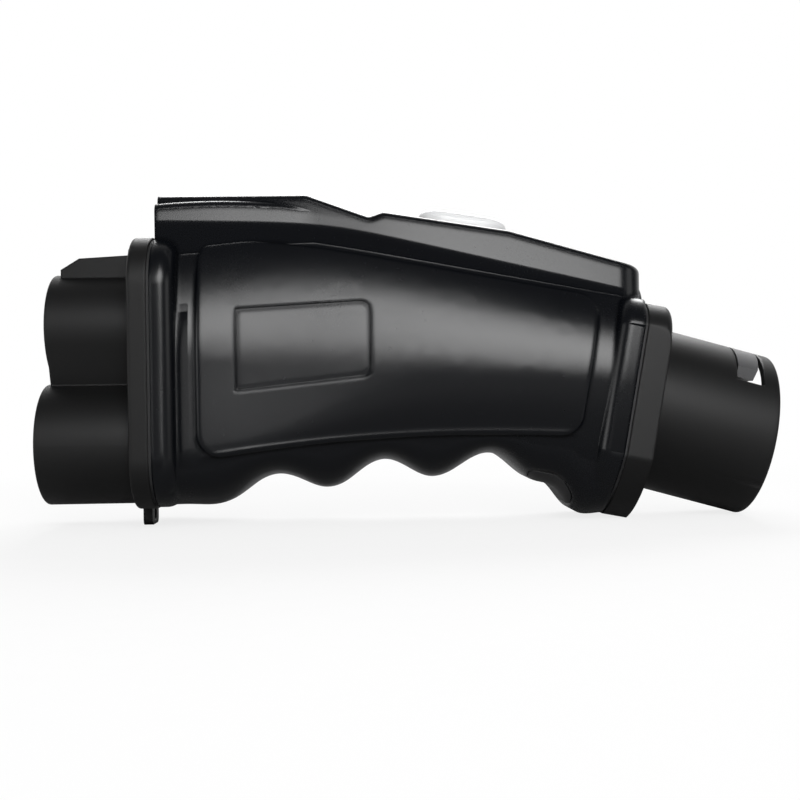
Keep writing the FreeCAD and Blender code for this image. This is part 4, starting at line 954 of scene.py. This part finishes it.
@dataclass
class RoundPlug(Assembly):
    """The tilted plug at the right, with its contacts."""

    finishes: dict[str, Finish] = field(default_factory=lambda: {
        "plug_shell": SHELL_BLACK,
        "plug_gasket": GASKET_BLACK,
        "plug_screws": SCREW_BLACK,
        "contact_carrier": INSULATOR_GREY,
        "signal_sockets": SILVER_PLATE,
        "earth_socket": SILVER_PLATE,
        "power_socket_positive": SILVER_PLATE,
        "power_socket_negative": SILVER_PLATE,
    })


@dataclass
class ThumbLatch(Assembly):
    """The button, the lever that it pushes, and what carries and lifts the lever.

    Attributes:
        spring_kept: The share of the spring's height that is left when the button is pressed. Not used.
    """

    finishes: dict[str, Finish] = field(default_factory=lambda: {
        "release_button": BUTTON_GREY,
        "latch_lever": LEVER_GREY,
        "latch_pivot_pin": SPRING_STEEL,
        "latch_spring": SPRING_STEEL,
    })
    spring_kept: float = 0.82

    def build(self) -> dict[str, bpy.types.Object]:
        """Dresses the pieces and gives the spring a mesh of its own.

        Returns:
            The pieces, by their nodes' names.
        """
        pieces = super().build()
        spring = pieces["latch_spring"]
        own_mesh(spring)
        return pieces


@dataclass
class PowerPath(Assembly):
    """The conductors from the inlet to the plug."""

    finishes: dict[str, Finish] = field(default_factory=lambda: {
        "busbar_positive": BARE_COPPER,
        "busbar_negative": BARE_COPPER,
        "earth_strip": BARE_COPPER,
    })


@dataclass
class ControlUnit(Assembly):
    """The board that translates the signals, and the cell that wakes it."""

    finishes: dict[str, Finish] = field(default_factory=lambda: {
        "control_board": BOARD_GREEN,
        "board_screws": SPRING_STEEL,
        "battery_cell": CELL_BLUE,
        "cell_cradle": INSULATOR_GREY,
    })


@dataclass
class ServicePort(Assembly):
    """The rubber cover under the grip and the socket behind it."""

    finishes: dict[str, Finish] = field(default_factory=lambda: {
        "port_cover": COVER_BLACK,
        "service_socket": SPRING_STEEL,
    })


@dataclass
class Softbox:
    """One area light.

    Attributes:
        name: The light's name.
        place: Where it is, in metres.
        aim: The point that it faces.
        size: Its width and height, in metres.
        power: Its power, in watts.
        spread: How wide its grid lets the light out, in degrees.
        roll: How far it is turned about the line to its aim, in degrees.
    """

    name: str
    place: Point
    aim: Point
    size: Span
    power: float
    spread: float = 180.0
    roll: float = 0.0

    def build(self) -> None:
        """Adds the light."""
        data = bpy.data.lights.new(self.name, "AREA")
        data.shape = "RECTANGLE"
        data.size, data.size_y = self.size
        data.energy = self.power
        data.spread = math.radians(self.spread)
        light = bpy.data.objects.new(self.name, data)
        light.location = self.place
        facing = (Vector(self.aim) - Vector(self.place)).to_track_quat("-Z", "Y").to_matrix()
        turned = facing @ Matrix.Rotation(math.radians(self.roll), 3, "Z")
        light.rotation_euler = turned.to_euler()
        bpy.context.scene.collection.objects.link(light)


@dataclass
class Studio:
    """The floor, the lights, the white background and the camera.

    Attributes:
        camera_place: Where the camera stands.
        camera_heading: How far it is turned from +Y, in degrees, clockwise seen from above.
        camera_roll: How far the picture is turned, in degrees.
        lens: The focal length, in millimetres.
        sensor: The width of the sensor, in millimetres.
        nearest: The nearest distance that the camera sees.
        middle: The point that the lights face.
        floor_reach: How far the floor reaches from the origin along X and Y.
        background_depth: Between which Y parts of its direction a mirrored ray comes to see white.
        front_glow: How bright a mirrored ray sees the room in front of the object.
        ambient_glow: How bright the other rays see the room.
    """

    camera_place: Point = (-0.0192, -0.4648, 0.049)
    camera_heading: float = 1.7
    camera_roll: float = 0.9
    lens: float = 50.7
    sensor: float = 36.0
    nearest: float = 0.01
    middle: Point = (0.0, 0.0, 0.07)
    floor_reach: float = 6.0
    background_depth: Span = (0.0, 0.8)
    front_glow: float = 0.1
    ambient_glow: float = 0.3

    def build(self) -> None:
        """Adds everything."""
        self._camera()
        self._floor()
        self._world()
        for softbox in self._softboxes():
            softbox.build()
        bpy.context.scene.view_settings.view_transform = "Standard"
        logger.info("the studio is ready")

    def _softboxes(self) -> list[Softbox]:
        """Lists the lights.

        Returns:
            The lights.
        """
        aim = self.middle
        return [
            Softbox("key_front", (0.19, -1.12, 0.57), aim, (0.6, 0.7), 2.25, 75.0, -32.0),
            Softbox("back_overhead", (0.1, 0.75, 0.75), aim, (0.9, 0.4), 2.2, 80.0),
            Softbox("fill_left", (-0.95, -0.55, 0.25), aim, (0.5, 0.4), 1.9),
            Softbox("fill_right", (0.95, -0.5, 0.25), aim, (0.5, 0.4), 0.8),
        ]

    def _camera(self) -> None:
        """Adds the camera at the photograph's angle."""
        data = bpy.data.cameras.new("photo_camera")
        data.lens = self.lens
        data.sensor_width = self.sensor
        data.clip_start = self.nearest
        camera = bpy.data.objects.new("photo_camera", data)
        upright = Matrix.Rotation(math.radians(90), 4, "X")
        turned = Matrix.Rotation(math.radians(-self.camera_heading), 4, "Z")
        rolled = Matrix.Rotation(math.radians(-self.camera_roll), 4, "Z")
        camera.matrix_world = Matrix.Translation(self.camera_place) @ turned @ upright @ rolled
        bpy.context.scene.collection.objects.link(camera)
        bpy.context.scene.camera = camera

    def _floor(self) -> None:
        """Adds the pale floor."""
        shape = bmesh.new()
        bmesh.ops.create_grid(shape, x_segments=2, y_segments=2, size=self.floor_reach)
        mesh = bpy.data.meshes.new("floor")
        shape.to_mesh(mesh)
        shape.free()
        mesh.materials.append(FLOOR_PALE.make())
        floor = bpy.data.objects.new("floor", mesh)
        bpy.context.scene.collection.objects.link(floor)

    def _world(self) -> None:
        """Makes the background white and the ambient light soft."""
        world = bpy.data.worlds.new("studio")
        bpy.context.scene.world = world
        tree = Tree(world)
        seen = tree.ray(Ray.CAMERA).larger(tree.ray(Ray.CLEAR))
        mirrored = tree.ray(Ray.MIRRORED)
        direction = Wire(tree, tree.add("ShaderNodeTexCoord").outputs["Generated"])
        _, depth, _ = tree.split(direction)
        behind = depth.ramp(*self.background_depth)
        reflection = mirrored * (self.front_glow + (1.0 - self.front_glow) * behind)
        ambient = (1.0 - mirrored) * self.ambient_glow
        strength = seen.larger(reflection).larger(ambient)
        background = tree.node("ShaderNodeBackground", Color=WHITE, Strength=strength)
        tree.add("ShaderNodeOutputWorld", Surface=background)


def main() -> None:
    """Builds the sub-assemblies in order."""
    logging.basicConfig(level=logging.INFO, format="%(name)s: %(message)s")
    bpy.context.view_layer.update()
    for assembly in (
        GripHousing(), ChargingInlet(), RoundPlug(), ThumbLatch(), PowerPath(), ControlUnit(), ServicePort(),
    ):
        assembly.build()
    Studio().build()


if __name__ == "__main__":
    main()
